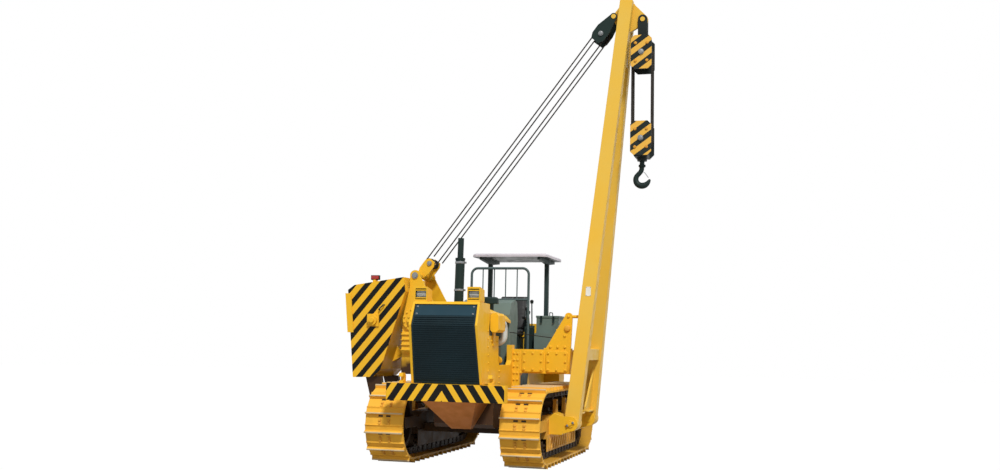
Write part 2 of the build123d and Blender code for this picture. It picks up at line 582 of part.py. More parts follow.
def grille():
    """Louvred front screen in two flat fields that meet at the nose, under a plain head plate."""
    top_z = NOSE_TOP_Z - NOSE_TOP_BAR - FACE_FIT
    low_z = NOSE_FOOT_Z + FACE_FIT
    head_y = NOSE_TOP_Y + (NOSE_Y - NOSE_TOP_Y) * (NOSE_TOP_Z - top_z) / (NOSE_TOP_Z - NOSE_Z)
    inner = nose_half(low_z)

    def sheet(front, back):
        edge = [(NOSE_FOOT_Y, low_z), (NOSE_Y, NOSE_Z), (head_y, top_z)]
        outline = [(y + front, z) for y, z in edge] + [(y + back, z) for y, z in reversed(edge)]
        return plate_yz(outline, (-inner, inner))

    deep = GRILLE_BACK + GRILLE_BARS
    slots_low, slots_high = NOSE_FOOT_Z + SLOT_MARGIN, top_z - GRILLE_PLATE
    step = (slots_high - slots_low) / SLOT_ROWS
    cuts = []
    for row in range(SLOT_ROWS):
        z = slots_low + (row + 0.5) * step
        half = nose_half(z) - CHEEK_THICK - SLOT_MARGIN
        cuts.append(
            block((-half, half), (NOSE_Y, NOSE_FOOT_Y + deep), (z - SLOT_HEIGHT / 2, z + SLOT_HEIGHT / 2))
        )
    screen = sheet(GRILLE_BACK, deep).cut(*cuts) + sheet(deep - 1, deep + GRILLE_SHEET)
    low_half, top_half = (nose_half(z) - CHEEK_THICK - 2 for z in (low_z, top_z))
    between = [(-low_half, low_z), (low_half, low_z), (top_half, top_z), (-top_half, top_z)]
    return screen & plate_xz(between, (NOSE_Y, NOSE_FOOT_Y + 200))


def hood():
    """Folded engine hood, open below, whose top falls towards the cowl."""
    front, drop = HOOD_FRONT, HOOD_HIGH - HOOD_REAR_HIGH
    fall = degrees(atan2(drop, HOOD_REAR - front))
    length = hypot(drop, HOOD_REAR - front)
    low, shoulder = -HOOD_DROP, -HOOD_SHOULDER
    outer = [
        (-HOOD_HALF, low),
        (-HOOD_HALF, shoulder),
        (-HOOD_HALF + HOOD_SHOULDER, 0),
        (HOOD_HALF - HOOD_SHOULDER, 0),
        (HOOD_HALF, shoulder),
        (HOOD_HALF, low),
    ]
    wall = HOOD_HALF - HOOD_THICK
    inner = [
        (wall, low),
        (wall, shoulder - 6),
        (wall - HOOD_SHOULDER + 8, -HOOD_THICK),
        (-wall + HOOD_SHOULDER - 8, -HOOD_THICK),
        (-wall, shoulder - 6),
        (-wall, low),
    ]
    sheet = Pos(0, front, HOOD_HIGH) * Rot(-fall, 0, 0) * plate_xz(outer + inner, (0, length))
    return sheet - disc_at_exhaust(EXHAUST_R + FACE_FIT, HOOD_REAR_HIGH - 60, HOOD_HIGH + 60)


def disc_at_exhaust(radius, low, high):
    """A round bar along the leaning exhaust, between two heights."""
    drift = tan(radians(EXHAUST_LEAN))
    base = HOOD_HIGH
    ends = [(EXHAUST_X, EXHAUST_Y + (z - base) * drift, z) for z in (low, high)]
    return rod(*ends, radius)


def lamp_boxes():
    """Two lamp housings on the front of the hood, open to the front behind three bars."""
    shapes = []
    for side in (1, -1):
        x = mirrored(side, LAMP_X - LAMP_WIDTH / 2, LAMP_X + LAMP_WIDTH / 2)
        low = NOSE_TOP_Z
        shell = plate_yz(
            [
                (LAMP_Y, low),
                (LAMP_Y + LAMP_DEEP, low),
                (LAMP_Y + LAMP_DEEP, low + LAMP_HIGH - 40),
                (LAMP_Y, low + LAMP_HIGH),
            ],
            x,
        )
        shell = fillet(shell.edges().filter_by(Axis.Y), 14)
        inside = (x[0] + LAMP_WALL, x[1] - LAMP_WALL)
        shell -= block(inside, (LAMP_Y - 1, LAMP_Y + LAMP_LENS), (low + 30, low + LAMP_HIGH - 28))
        bars = []
        for z in (low + LAMP_HIGH / 2 - LAMP_BAR_RISE, low + LAMP_HIGH / 2 + LAMP_BAR_RISE):
            bars.append(block((inside[0] - 2, inside[1] + 2), (LAMP_Y + 4, LAMP_Y + 16), (z - 8, z + 8)))
        shapes.append(joined([shell, *bars]))
    return Compound(shapes)


def lamp_lenses():
    """Wide lamps inside the housings."""
    shapes = []
    half = LAMP_WIDTH / 2 - LAMP_WALL - 8
    z = NOSE_TOP_Z + LAMP_HIGH / 2
    for side in (1, -1):
        x = (side * LAMP_X - half, side * LAMP_X + half)
        lens = block(
            x,
            (LAMP_Y + LAMP_LENS - 40, LAMP_Y + LAMP_LENS),
            (z - LAMP_LENS_HALF, z + LAMP_LENS_HALF),
        )
        shapes.append(fillet(lens.edges().filter_by(Axis.Y), 14))
    return Compound(shapes)


def engine():
    """Engine block with its head and a row of head covers."""
    head_x = (-ENGINE_HALF + ENGINE_HEAD_IN, ENGINE_HALF - ENGINE_HEAD_IN)
    head_low, cover_low = ENGINE_HIGH - ENGINE_HEAD_LOW, ENGINE_HIGH - ENGINE_COVER_LOW
    body = block((-ENGINE_HALF, ENGINE_HALF), (ENGINE_FRONT, ENGINE_REAR), (HULL_HIGH, head_low + 5))
    head = block(head_x, (ENGINE_FRONT + 120, ENGINE_REAR - 40), (head_low, cover_low + 5))
    pieces = [body, head]
    length = (ENGINE_REAR - ENGINE_FRONT - 200) / ENGINE_COVERS
    for count in range(ENGINE_COVERS):
        y = ENGINE_FRONT + 140 + count * length
        pieces.append(block((head_x[0] + 40, head_x[1] - 40), (y, y + length - 40), (cover_low, ENGINE_HIGH)))
    return joined(pieces)


def exhaust():
    """Silencer through the hood with a narrower tail pipe."""
    low = disc_at_exhaust(EXHAUST_R, ENGINE_HIGH + 40, EXHAUST_STEP)
    collar = disc_at_exhaust(EXHAUST_R + 6, EXHAUST_STEP - 30, EXHAUST_STEP)
    tail = disc_at_exhaust(EXHAUST_TIP_R, EXHAUST_STEP - 5, EXHAUST_HIGH)
    return low + collar + tail - disc_at_exhaust(EXHAUST_TIP_R - 6, EXHAUST_HIGH - 120, EXHAUST_HIGH + 20)


def precleaner():
    """Air intake bowl on top of the hood."""
    fall = (HOOD_HIGH - HOOD_REAR_HIGH) / (HOOD_REAR - HOOD_FRONT)
    foot_z = HOOD_HIGH - fall * (PRECLEANER_Y - PRECLEANER_STEM - HOOD_FRONT) + FACE_FIT

    def upright(low, high, radius):
        return rod((PRECLEANER_X, PRECLEANER_Y, low), (PRECLEANER_X, PRECLEANER_Y, high), radius)

    stem = upright(foot_z, PRECLEANER_HIGH - 60, PRECLEANER_STEM)
    bowl = upright(PRECLEANER_HIGH - 105, PRECLEANER_HIGH, PRECLEANER_R)
    return stem + chamfer(bowl.edges().group_by(Axis.Z)[-1], 25)


def air_cleaner():
    """Air cleaner box at the open left side, on a bracket from the bay wall."""
    box = block(
        (BAY_SIDE, BAY_SIDE + AIR_BOX_OUT),
        (AIR_BOX_FRONT, AIR_BOX_REAR),
        (AIR_BOX_LOW, AIR_BOX_HIGH),
    )
    box = chamfer(box.edges().filter_by(Axis.Y), 35)
    middle = (AIR_BOX_FRONT + AIR_BOX_REAR) / 2
    bracket = block(
        (BAY_SIDE, BAY_SIDE + AIR_BRACKET),
        (middle - AIR_BRACKET_HALF, middle + AIR_BRACKET_HALF),
        (AIR_BOX_LOW - AIR_BRACKET_DROP, AIR_BOX_LOW + AIR_BRACKET_DROP),
    )
    return box + bracket


def air_pipe():
    """Pipe from the air cleaner, down and in to the engine's head."""
    x, z = BAY_SIDE + AIR_BOX_OUT / 2, (AIR_BOX_LOW + AIR_BOX_HIGH) / 2
    down_y = AIR_BOX_REAR + AIR_PIPE_RUN
    head_side = ENGINE_HALF - ENGINE_HEAD_IN + FACE_FIT
    route = [
        (x, AIR_BOX_REAR + FACE_FIT, z),
        (x, down_y, z),
        (x, down_y, AIR_PIPE_Z),
        (head_side, down_y, AIR_PIPE_Z),
    ]
    return bent_tube(route, AIR_PIPE_R, AIR_PIPE_BEND)


def deck():
    """Operator's floor over the steering case, with fenders out over the tracks and two front webs."""
    floor_low = CASE_HIGH
    centre = block((-HULL_HALF, HULL_HALF), (DECK_STEP, DECK_REAR), (floor_low, DECK_HIGH))
    wings = block((-DECK_HALF, DECK_HALF), (DECK_FRONT, DECK_REAR), (floor_low, DECK_HIGH))
    pieces = [centre, wings]
    for side in (1, -1):
        web = plate_yz(
            [
                (DECK_STEP, HULL_HIGH),
                (CASE_FRONT - 210, HULL_HIGH),
                (CASE_FRONT - 10, floor_low + 5),
                (DECK_STEP, floor_low + 5),
            ],
            mirrored(side, HULL_HALF - 40, HULL_HALF),
        )
        skirt = block(
            mirrored(side, DECK_HALF - 25, DECK_HALF),
            (DECK_FRONT, DECK_REAR),
            (floor_low - 90, floor_low + 5),
        )
        pieces += [web, skirt]
    return joined(pieces)


def dash():
    """Cowl behind the hood, sloping down to the foot pedals."""
    outline = [
        (DASH_FRONT, HULL_HIGH),
        (DASH_FRONT, HOOD_REAR_HIGH + 20),
        (DASH_FRONT + 120, DASH_HIGH - 60),
        (DASH_REAR - 200, DASH_HIGH),
        (DASH_REAR - 60, DASH_HIGH - 40),
        (DASH_REAR, DASH_HIGH - 330),
        (DASH_REAR - 90, CASE_HIGH),
        (DASH_REAR, CASE_HIGH - 60),
        (DASH_REAR, HULL_HIGH),
    ]
    cowl = plate_yz(outline, (-DASH_HALF, DASH_HALF))
    edges = cowl.edges().filter_by(Axis.X).group_by(Axis.Z)[-1]
    return fillet(edges, 30)


def seat():
    """Operator's seat on a boxed base, with a leaning back and two arm pads."""
    front, back = SEAT_Y - SEAT_DEEP / 2, SEAT_Y + SEAT_DEEP / 2
    base = block(
        (-SEAT_HALF + 50, SEAT_HALF - 50),
        (front + 40, back),
        (DECK_HIGH, SEAT_HIGH - SEAT_CUSHION + 5),
    )
    cushion = block((-SEAT_HALF, SEAT_HALF), (front, back), (SEAT_HIGH - SEAT_CUSHION, SEAT_HIGH))
    cushion = fillet(cushion.edges().filter_by(Axis.X), 40)
    rest = plate_yz(
        [
            (back - SEAT_BACK_THICK, SEAT_HIGH - 60),
            (back, SEAT_HIGH - 60),
            (back + 90, SEAT_BACK_HIGH),
            (back + 90 - SEAT_BACK_THICK, SEAT_BACK_HIGH),
        ],
        (-SEAT_HALF + 10, SEAT_HALF - 10),
    )
    rest = fillet(rest.edges().filter_by(Axis.X).group_by(Axis.Z)[-1], 40)
    pieces = [base, cushion, rest]
    for side in (1, -1):
        arm = block(
            mirrored(side, SEAT_HALF - 20, SEAT_HALF + 55),
            (front + 90, back - 40),
            (SEAT_HIGH + 170, SEAT_HIGH + 235),
        )
        stay = block(
            mirrored(side, SEAT_HALF - 20, SEAT_HALF + 20),
            (back - 150, back - 90),
            (SEAT_HIGH - 90, SEAT_HIGH + 175),
        )
        pieces += [arm, stay]
    return joined(pieces)


def battery_box():
    """Stepped locker on the left fender with a lid."""
    low = block((BOX_INNER, BOX_OUTER), (BOX_FRONT, BOX_REAR), (DECK_HIGH, BOX_HIGH - 30))
    lid = block((BOX_INNER - 12, BOX_OUTER + 12), (BOX_FRONT - 12, BOX_REAR), (BOX_HIGH - 35, BOX_HIGH))
    step_high = (DECK_HIGH + BOX_HIGH) / 2
    step = block((BOX_INNER + 40, BOX_OUTER), (BOX_FRONT - 320, BOX_FRONT + 5), (DECK_HIGH, step_high))
    return joined([low, fillet(lid.edges().filter_by(Axis.Z), 20), step])


def oil_tank():
    """Hydraulic tank on the right fender with a filler neck."""
    body = block((-BOX_OUTER, -BOX_INNER), (BOX_FRONT - 200, BOX_REAR), (DECK_HIGH, OIL_TANK_HIGH))
    body = fillet(body.edges().filter_by(Axis.Z), 45)
    middle_x, neck_y = -(BOX_INNER + BOX_OUTER) / 2, BOX_FRONT
    neck = rod((middle_x, neck_y, OIL_TANK_HIGH - 5), (middle_x, neck_y, OIL_TANK_HIGH + 70), 55)
    return body + neck


def levers():
    """Lever stand beside the seat with two knobbed levers and a winch lever bank."""
    x = (LEVER_STAND_X - LEVER_STAND_HALF, LEVER_STAND_X + LEVER_STAND_HALF)
    top = SEAT_HIGH + 60
    stand = plate_yz(
        [(LEVER_Y - 90, DECK_HIGH), (LEVER_Y + 90, DECK_HIGH), (LEVER_Y + 60, top), (LEVER_Y - 60, top - 40)],
        x,
    )
    # columns: x from the stand's middle, height of the knob, lean to the front
    table = ((-40, 2484, 60), (44, 2611, 40), (0, 2420, 90))
    pieces = [stand]
    for offset, high, lean in table:
        foot = (LEVER_STAND_X + offset, LEVER_Y, top - 60)
        knob = (LEVER_STAND_X + offset, LEVER_Y - lean, high)
        pieces += [rod(foot, knob, LEVER_R), Pos(*knob) * Cylinder(KNOB_R, 2 * KNOB_R)]
    return joined(pieces)


def guard_rail():
    """Bent tube hoop in front of the operator, with a middle rail and thin upright bars."""
    high = RAIL_HIGH - RAIL_TUBE
    feet = [(-RAIL_HALF, RAIL_Y, DECK_HIGH), (RAIL_HALF, RAIL_Y, DECK_HIGH)]
    corners = [feet[0], (-RAIL_HALF, RAIL_Y, high), (RAIL_HALF, RAIL_Y, high), feet[1]]
    pieces = [bent_tube(corners, RAIL_TUBE, RAIL_BEND)]
    pieces.append(rod((-RAIL_HALF, RAIL_Y, RAIL_MID), (RAIL_HALF, RAIL_Y, RAIL_MID), RAIL_MID_R))
    for count in range(RAIL_BARS):
        x = -RAIL_HALF + (count + 1) * 2 * RAIL_HALF / (RAIL_BARS + 1)
        pieces.append(rod((x, RAIL_Y, RAIL_MID), (x, RAIL_Y, high), RAIL_BAR_R))
    for x, y, z in feet:
        pieces.append(rod((x, y, z), (x, y, z + RAIL_FLANGE), RAIL_FLANGE_R))
    return joined(pieces)


def canopy_posts():
    """Two canopy posts, each with a tapered arm under the roof."""
    shapes = []
    for side in (1, -1):
        x = mirrored(side, POST_X - POST_SIDE / 2, POST_X + POST_SIDE / 2)
        post = block(x, (POST_Y - POST_SIDE / 2, POST_Y + POST_SIDE / 2), (DECK_HIGH, POST_HIGH + 10))
        arm = plate_yz(
            [
                (ROOF_FRONT + ARM_SHORT, ROOF_LOW),
                (ROOF_FRONT + ARM_SHORT, ROOF_LOW - ARM_TIP),
                (POST_Y - POST_SIDE, POST_HIGH),
                (POST_Y + POST_SIDE, POST_HIGH),
                (ROOF_REAR - ARM_SHORT, ROOF_LOW - ARM_TIP),
                (ROOF_REAR - ARM_SHORT, ROOF_LOW),
            ],
            (x[0] + 12, x[1] - 12),
        )
        shapes.append(post + arm)
    return Compound(shapes)


def canopy_roof():
    """Flat roof tray with rounded corners."""
    tray = block((-ROOF_HALF, ROOF_HALF), (ROOF_FRONT, ROOF_REAR), (ROOF_LOW, ROOF_HIGH))
    tray = fillet(tray.edges().filter_by(Axis.Z), ROOF_CORNER)
    return chamfer(tray.edges().group_by(Axis.Z)[-1], 22)


def fuel_tank():
    """Tank across the rear, on a bracket from the hull."""
    tank = block((-TANK_HALF, TANK_HALF), (DECK_REAR, TANK_REAR), (TANK_LOW, TANK_HIGH))
    tank = fillet(tank.edges().filter_by(Axis.X).group_by(Axis.Y)[-1], TANK_ROUND)
    bracket = block(
        (-HULL_HALF + 60, HULL_HALF - 60),
        (HULL_REAR, DECK_REAR + 5),
        (TANK_LOW + 40, CASE_HIGH - 60),
    )
    neck = rod(
        (TANK_HALF - 180, (DECK_REAR + TANK_REAR) / 2, TANK_HIGH - 5),
        (TANK_HALF - 180, (DECK_REAR + TANK_REAR) / 2, TANK_HIGH + 55),
        60,
    )
    return joined([tank, bracket, neck])


def drawbar():
    """Drawbar tongue with its pin bore, and a step plate against the hull."""
    low, high = DRAWBAR_Z - DRAWBAR_THICK / 2, DRAWBAR_Z + DRAWBAR_THICK / 2
    tongue = block((-DRAWBAR_HALF, DRAWBAR_HALF), (HULL_REAR, DRAWBAR_BORE_Y), (low, high))
    end = rod((0, DRAWBAR_BORE_Y, low), (0, DRAWBAR_BORE_Y, high), DRAWBAR_END - DRAWBAR_BORE_Y)
    root = block((-2 * DRAWBAR_HALF, 2 * DRAWBAR_HALF), (HULL_REAR, HULL_REAR + 60), (low - 20, high + 120))
    bore = rod((0, DRAWBAR_BORE_Y, low - 5), (0, DRAWBAR_BORE_Y, high + 5), DRAWBAR_BORE)
    return tongue + end + root - bore


# The boom's own frame: origin on the foot pins, Z along the boom
def on_boom(shape):
    return Pos(BOOM_X, 0, BOOM_Z) * Rot(0, BOOM_LEAN, 0) * shape


def boom_point(x, z):
    """World (x, z) of a point in the boom's own frame."""
    turn = radians(BOOM_LEAN)
    return BOOM_X + x * cos(turn) + z * sin(turn), BOOM_Z - x * sin(turn) + z * cos(turn)


def leg_middle(z):
    """Distance of a leg's middle from the boom's centre plane."""
    return BOOM_SPREAD - (BOOM_SPREAD - LEG_TOP_Y) * z / BOOM_LENGTH


def leg_inner(z):
    """Distance of a leg's inner face from the boom's centre plane."""
    return leg_middle(z) - (LEG_DEEP + (LEG_TOP_DEEP - LEG_DEEP) * z / BOOM_LENGTH) / 2


def boom_legs():
    """Two tapered box legs with round feet."""
    shapes = []
    for side in (1, -1):
        foot = Pos(0, side * BOOM_SPREAD, 0) * Rectangle(LEG_WIDE, LEG_DEEP)
        head = Pos(0, side * LEG_TOP_Y, BOOM_LENGTH) * Rectangle(LEG_TOP_WIDE, LEG_TOP_DEEP)
        ends = (side * BOOM_SPREAD - LEG_DEEP / 2, side * BOOM_SPREAD + LEG_DEEP / 2)
        leg = loft([foot, head]) + disc_y(0, 0, FOOT_R, ends)
        bore = disc_y(0, 0, FOOT_PIN_R + PIN_FIT, (ends[0] - LEG_DEEP, ends[1] + LEG_DEEP))
        shapes.append(on_boom(leg - bore))
    return Compound(shapes)


def boom_braces():
    """Cross box between the legs, with a triangular gusset plate on each leg below it."""
    low, high = CROSS_Z, CROSS_Z + CROSS_HIGH
    box = plate_yz(
        [
            (-leg_inner(low) + FACE_FIT, low),
            (leg_inner(low) - FACE_FIT, low),
            (leg_inner(high) - FACE_FIT, high),
            (-leg_inner(high) + FACE_FIT, high),
        ],
        (-CROSS_HALF, CROSS_HALF),
    )
    shapes = [on_boom(box)]
    for side in (1, -1):
        gusset = plate_yz(
            [
                (side * (leg_inner(GUSSET_LOW) - FACE_FIT), GUSSET_LOW),
                (side * (leg_inner(GUSSET_HIGH) - FACE_FIT), GUSSET_HIGH),
                (side * (leg_inner(GUSSET_LOW) - GUSSET_WIDE), GUSSET_LOW + 60),
                (side * (leg_inner(GUSSET_LOW) - GUSSET_WIDE), GUSSET_LOW),
            ],
            (-GUSSET_HALF, GUSSET_HALF),
        )
        lip_y = sorted((side * (leg_inner(GUSSET_LOW) - 2), side * (leg_inner(GUSSET_LOW) - GUSSET_WIDE)))
        lip = block((-CROSS_HALF, CROSS_HALF), lip_y, (GUSSET_LOW - 22, GUSSET_LOW))
        shapes.append(on_boom(gusset + lip))
    return Compound(shapes)


def boom_head():
    """Head between the legs' tops, with the luffing lug inside and the hoist lug outside, and both pins."""
    top = BOOM_LENGTH
    core = plate_yz(
        [
            (-leg_inner(HEAD_Z) + FACE_FIT, HEAD_Z),
            (leg_inner(HEAD_Z) - FACE_FIT, HEAD_Z),
            (leg_inner(top) - FACE_FIT, top),
            (-leg_inner(top) + FACE_FIT, top),
        ],
        (-HEAD_HALF, HEAD_HALF),
    )
    pieces = [core]
    # columns: pin's x, lug radius, how far the lug's root reaches below the pin, half length of its pin
    lugs = (
        (LUG_INNER_X, LUG_INNER_R, 190, LUFF_CHEEK_OUT + 8),
        (LUG_OUTER_X, LUG_OUTER_R, 230, HANGER_OUT + 12),
    )
    for x, radius, down, reach in lugs:
        side = 1 if x > 0 else -1
        root, corner = side * (HEAD_HALF - 10), radius * sin(pi / 4)
        web = plate_xz(
            [
                (root, LUG_Z - down),
                (x, LUG_Z - radius),
                (x + side * corner, LUG_Z + corner),
                (root, top - 6),
            ],
            (-LUG_HALF, LUG_HALF),
        )
        lug = disc_y(x, LUG_Z, radius, (-LUG_HALF, LUG_HALF))
        pieces += [web, lug, disc_y(x, LUG_Z, LUG_PIN_R, (-reach, reach))]
    return on_boom(joined(pieces))


def boom_feet():
    """Brackets on the left track frame that hold the boom's foot pins between ears."""
    frame_x = TRACK_X + FRAME_HALF + GUARD_THICK + RIB_PROUD
    box_end = BOOM_X - FOOT_R - 14
    shapes = []
    for side in (1, -1):
        middle = side * BOOM_SPREAD
        half = LEG_DEEP / 2 + EAR_GAP + EAR_THICK
        box = plate_xz(
            [
                (TRACK_X + FRAME_HALF, GUARD_HIGH),
                (frame_x, GUARD_HIGH),
                (box_end, OUTRIGGER_LOW),
                (box_end, OUTRIGGER_HIGH - 40),
                (frame_x + 40, OUTRIGGER_HIGH),
                (TRACK_X + FRAME_HALF, FRAME_HIGH - 20),
            ],
            (middle - half, middle + half),
        )
        pieces = [box]
        for edge in (1, -1):
            y = sorted((middle + edge * (half - EAR_THICK), middle + edge * half))
            ear = plate_xz(
                [
                    (box_end - 30, OUTRIGGER_LOW),
                    (BOOM_X, BOOM_Z - EAR_R),
                    (BOOM_X, BOOM_Z + EAR_R),
                    (box_end - 30, OUTRIGGER_HIGH - 45),
                ],
                y,
            )
            pieces += [ear, disc_y(BOOM_X, BOOM_Z, EAR_R, y)]
        pieces.append(disc_y(BOOM_X, BOOM_Z, FOOT_PIN_R, (middle - half - 14, middle + half + 14)))
        shapes.append(joined(pieces))
    return Compound(shapes)


def boom_beam():
    """Box beam from the hull out over the left track, with a root bracket and bolted covers on its front."""
    beam = plate_xz(
        [
            (BAY_SIDE, BEAM_LOW - 180),
            (BAY_SIDE + 90, BEAM_LOW),
            (BEAM_END, BEAM_LOW),
            (BEAM_END, BEAM_HIGH),
            (BAY_SIDE, BEAM_HIGH),
        ],
        (BEAM_FRONT, BEAM_BACK),
    )
    front = (BEAM_FRONT - BEAM_COVER_THICK, BEAM_FRONT + 5)
    foot = block((HULL_HALF, BAY_SIDE + 60), (BAY_REAR, BEAM_BACK), (HULL_HIGH - 60, BEAM_LOW))
    root = (BAY_SIDE, BAY_SIDE + BEAM_BRACKET)
    bracket = block(root, front, (HULL_HIGH - 20, BEAM_HIGH))
    web = block(root, (BEAM_FRONT, BEAM_FRONT + 40), (HULL_HIGH - 20, BEAM_LOW + 5))
    pieces = [beam, foot, bracket, web]
    start = BAY_SIDE + BEAM_BRACKET + 45
    step = (BEAM_END - start) / BEAM_COVERS
    for count in range(BEAM_COVERS):
        x = start + count * step
        cover = block((x, x + step - 45), front, (BEAM_LOW + 25, BEAM_HIGH - 25))
        pieces.append(fillet(cover.edges().filter_by(Axis.Y), 40))
    return joined(pieces)


def boom_stop():
    """Triangular bracket on the beam with a round buffer that the boom's front leg rests against."""
    plate_y = (BEAM_FRONT, BEAM_FRONT + STOP_THICK)
    foot_x, foot_y = BEAM_END - STOP_FOOT, BEAM_FRONT + STOP_FOOT_DEEP
    plate = plate_xz(
        [
            (foot_x + 20, BEAM_HIGH),
            (BEAM_END, BEAM_HIGH),
            (STOP_X + STOP_R, STOP_Z),
            (STOP_X - STOP_R, STOP_Z),
        ],
        plate_y,
    )
    boss = disc_y(STOP_X, STOP_Z, STOP_R, plate_y)
    face_along = (STOP_Z - BOOM_Z) / cos(radians(BOOM_LEAN))
    leg_half = (LEG_WIDE + (LEG_TOP_WIDE - LEG_WIDE) * face_along / BOOM_LENGTH) / 2
    face_x = BOOM_X + (STOP_Z - BOOM_Z) * tan(radians(BOOM_LEAN)) - leg_half / cos(radians(BOOM_LEAN))
    middle_y = BEAM_FRONT + STOP_THICK / 2
    buffer = rod((STOP_X, middle_y, STOP_Z), (face_x - STOP_GAP - 4, middle_y, STOP_Z), STOP_THICK / 2)
    foot = block((foot_x, BEAM_END), (BEAM_FRONT, foot_y), (BEAM_HIGH, BEAM_HIGH + 25))
    rib = plate_yz(
        [(BEAM_FRONT, BEAM_HIGH), (foot_y, BEAM_HIGH), (BEAM_FRONT, BEAM_HIGH + STOP_RIB_HIGH)],
        (BEAM_END - 240, BEAM_END - 215),
    )
    return joined([plate, boss, buffer, foot, rib])


def gantry():
    """Two winch plates on a base over the right track, with the pin that carries the luffing link."""
    outline = [
        (GANTRY_OUT, GANTRY_LOW),
        (GANTRY_IN, GANTRY_LOW),
        (GANTRY_IN, GANTRY_KNEE_Z - 60),
        (GANTRY_KNEE_X, GANTRY_KNEE_Z),
        (GANTRY_X + GANTRY_BOSS_R - 10, GANTRY_Z),
        (GANTRY_X - GANTRY_BOSS_R + 2, GANTRY_Z),
        (GANTRY_X - GANTRY_BOSS_R + 2, GANTRY_NECK_Z),
        (GANTRY_OUT, GANTRY_SHOULDER_Z),
    ]
    reach = GANTRY_Y + GANTRY_THICK
    pieces = [block((GANTRY_OUT, GANTRY_IN), (-reach, reach), (GANTRY_LOW, GANTRY_LOW + GANTRY_BASE))]
    for side in (1, -1):
        y = sorted((side * GANTRY_Y, side * reach))
        plate = plate_xz(outline, y) + disc_y(GANTRY_X, GANTRY_Z, GANTRY_BOSS_R, y)
        pieces.append(plate)
        spacer = sorted((side * (LUFF_CHEEK_OUT + EAR_GAP), side * (GANTRY_Y + 2)))
        pieces.append(disc_y(GANTRY_X, GANTRY_Z, GANTRY_PIN_R * 1.5, spacer))
        rib = plate_xz(
            [
                (-HULL_HALF, HULL_HIGH - 120),
                (-HULL_HALF, GANTRY_LOW + GANTRY_BASE),
                (GANTRY_IN - 200, GANTRY_LOW + 5),
                (GANTRY_IN - 30, HULL_HIGH - 120),
            ],
            y,
        )
        pieces.append(rib)
        lug_y = sorted(
            (side * (RAM_EYE_HALF + RAM_LUG_GAP), side * (RAM_EYE_HALF + RAM_LUG_GAP + RAM_LUG_THICK))
        )
        lug = plate_xz(
            [
                (RAM_FOOT_X - 110, GANTRY_LOW + GANTRY_BASE - 5),
                (RAM_FOOT_X + 130, GANTRY_LOW + GANTRY_BASE - 5),
                (RAM_FOOT_X + RAM_FOOT_R, RAM_FOOT_Z),
                (RAM_FOOT_X - RAM_FOOT_R, RAM_FOOT_Z),
            ],
            lug_y,
        )
        pieces += [lug, disc_y(RAM_FOOT_X, RAM_FOOT_Z, RAM_FOOT_R, lug_y)]
    pin_reach = RAM_EYE_HALF + RAM_LUG_GAP + RAM_LUG_THICK + 10
    pieces.append(disc_y(RAM_FOOT_X, RAM_FOOT_Z, RAM_PIN_R, (-pin_reach, pin_reach)))
    pieces.append(disc_y(GANTRY_X, GANTRY_Z, GANTRY_PIN_R, (-reach - 12, reach + 12)))
    return joined(pieces)


def winch_covers():
    """Round bolted covers of the winch drives on the front plate, with a ribbed motor below."""
    front = -GANTRY_Y - GANTRY_THICK
    shapes = []
    for x, z, _ in DRUMS.values():
        cover = disc_y(x, z, WINCH_COVER_R, (front - WINCH_COVER_DEEP, front))
        hub = disc_y(x, z, WINCH_COVER_R * 0.55, (front - WINCH_COVER_DEEP - 40, front))
        shapes.append(cover + hub)
    # the hoist's motor stands beside its own cover and below the other
    case_x = (GANTRY_OUT + MOTOR_GAP, DRUMS["hoist"][0] - WINCH_COVER_R - MOTOR_GAP)
    case_z = (MOTOR_LOW, DRUMS["luffing"][1] - WINCH_COVER_R - MOTOR_GAP)
    parts = [block(case_x, (front - MOTOR_DEEP, front), case_z)]
    step = (case_z[1] - case_z[0]) / MOTOR_RIBS
    for count in range(MOTOR_RIBS):
        z = case_z[0] + (count + 0.5) * step
        wide = (case_x[0] - MOTOR_GAP / 2, case_x[1] + MOTOR_GAP / 2)
        rib_y = (front - MOTOR_DEEP - MOTOR_RIB_PROUD, front)
        parts.append(block(wide, rib_y, (z - MOTOR_RIB_HALF, z + MOTOR_RIB_HALF)))
    shapes.append(joined(parts))
    return Compound(shapes)


def winch_drums():
    """Luffing and hoist drums, each with its layer of rope between two flanges."""
    shapes = []
    half = GANTRY_Y - FACE_FIT
    for x, z, flange in DRUMS.values():
        end = GANTRY_Y - DRUM_GAP
        core = disc_y(x, z, DRUM_SHAFT_R, (-half, half)) + disc_y(x, z, DRUM_R + ROPE_LAYER, (-end, end))
        for side in (1, -1):
            core += disc_y(x, z, flange, sorted((side * (end - DRUM_FLANGE), side * end)))
        shapes.append(core)
    return Compound(shapes)


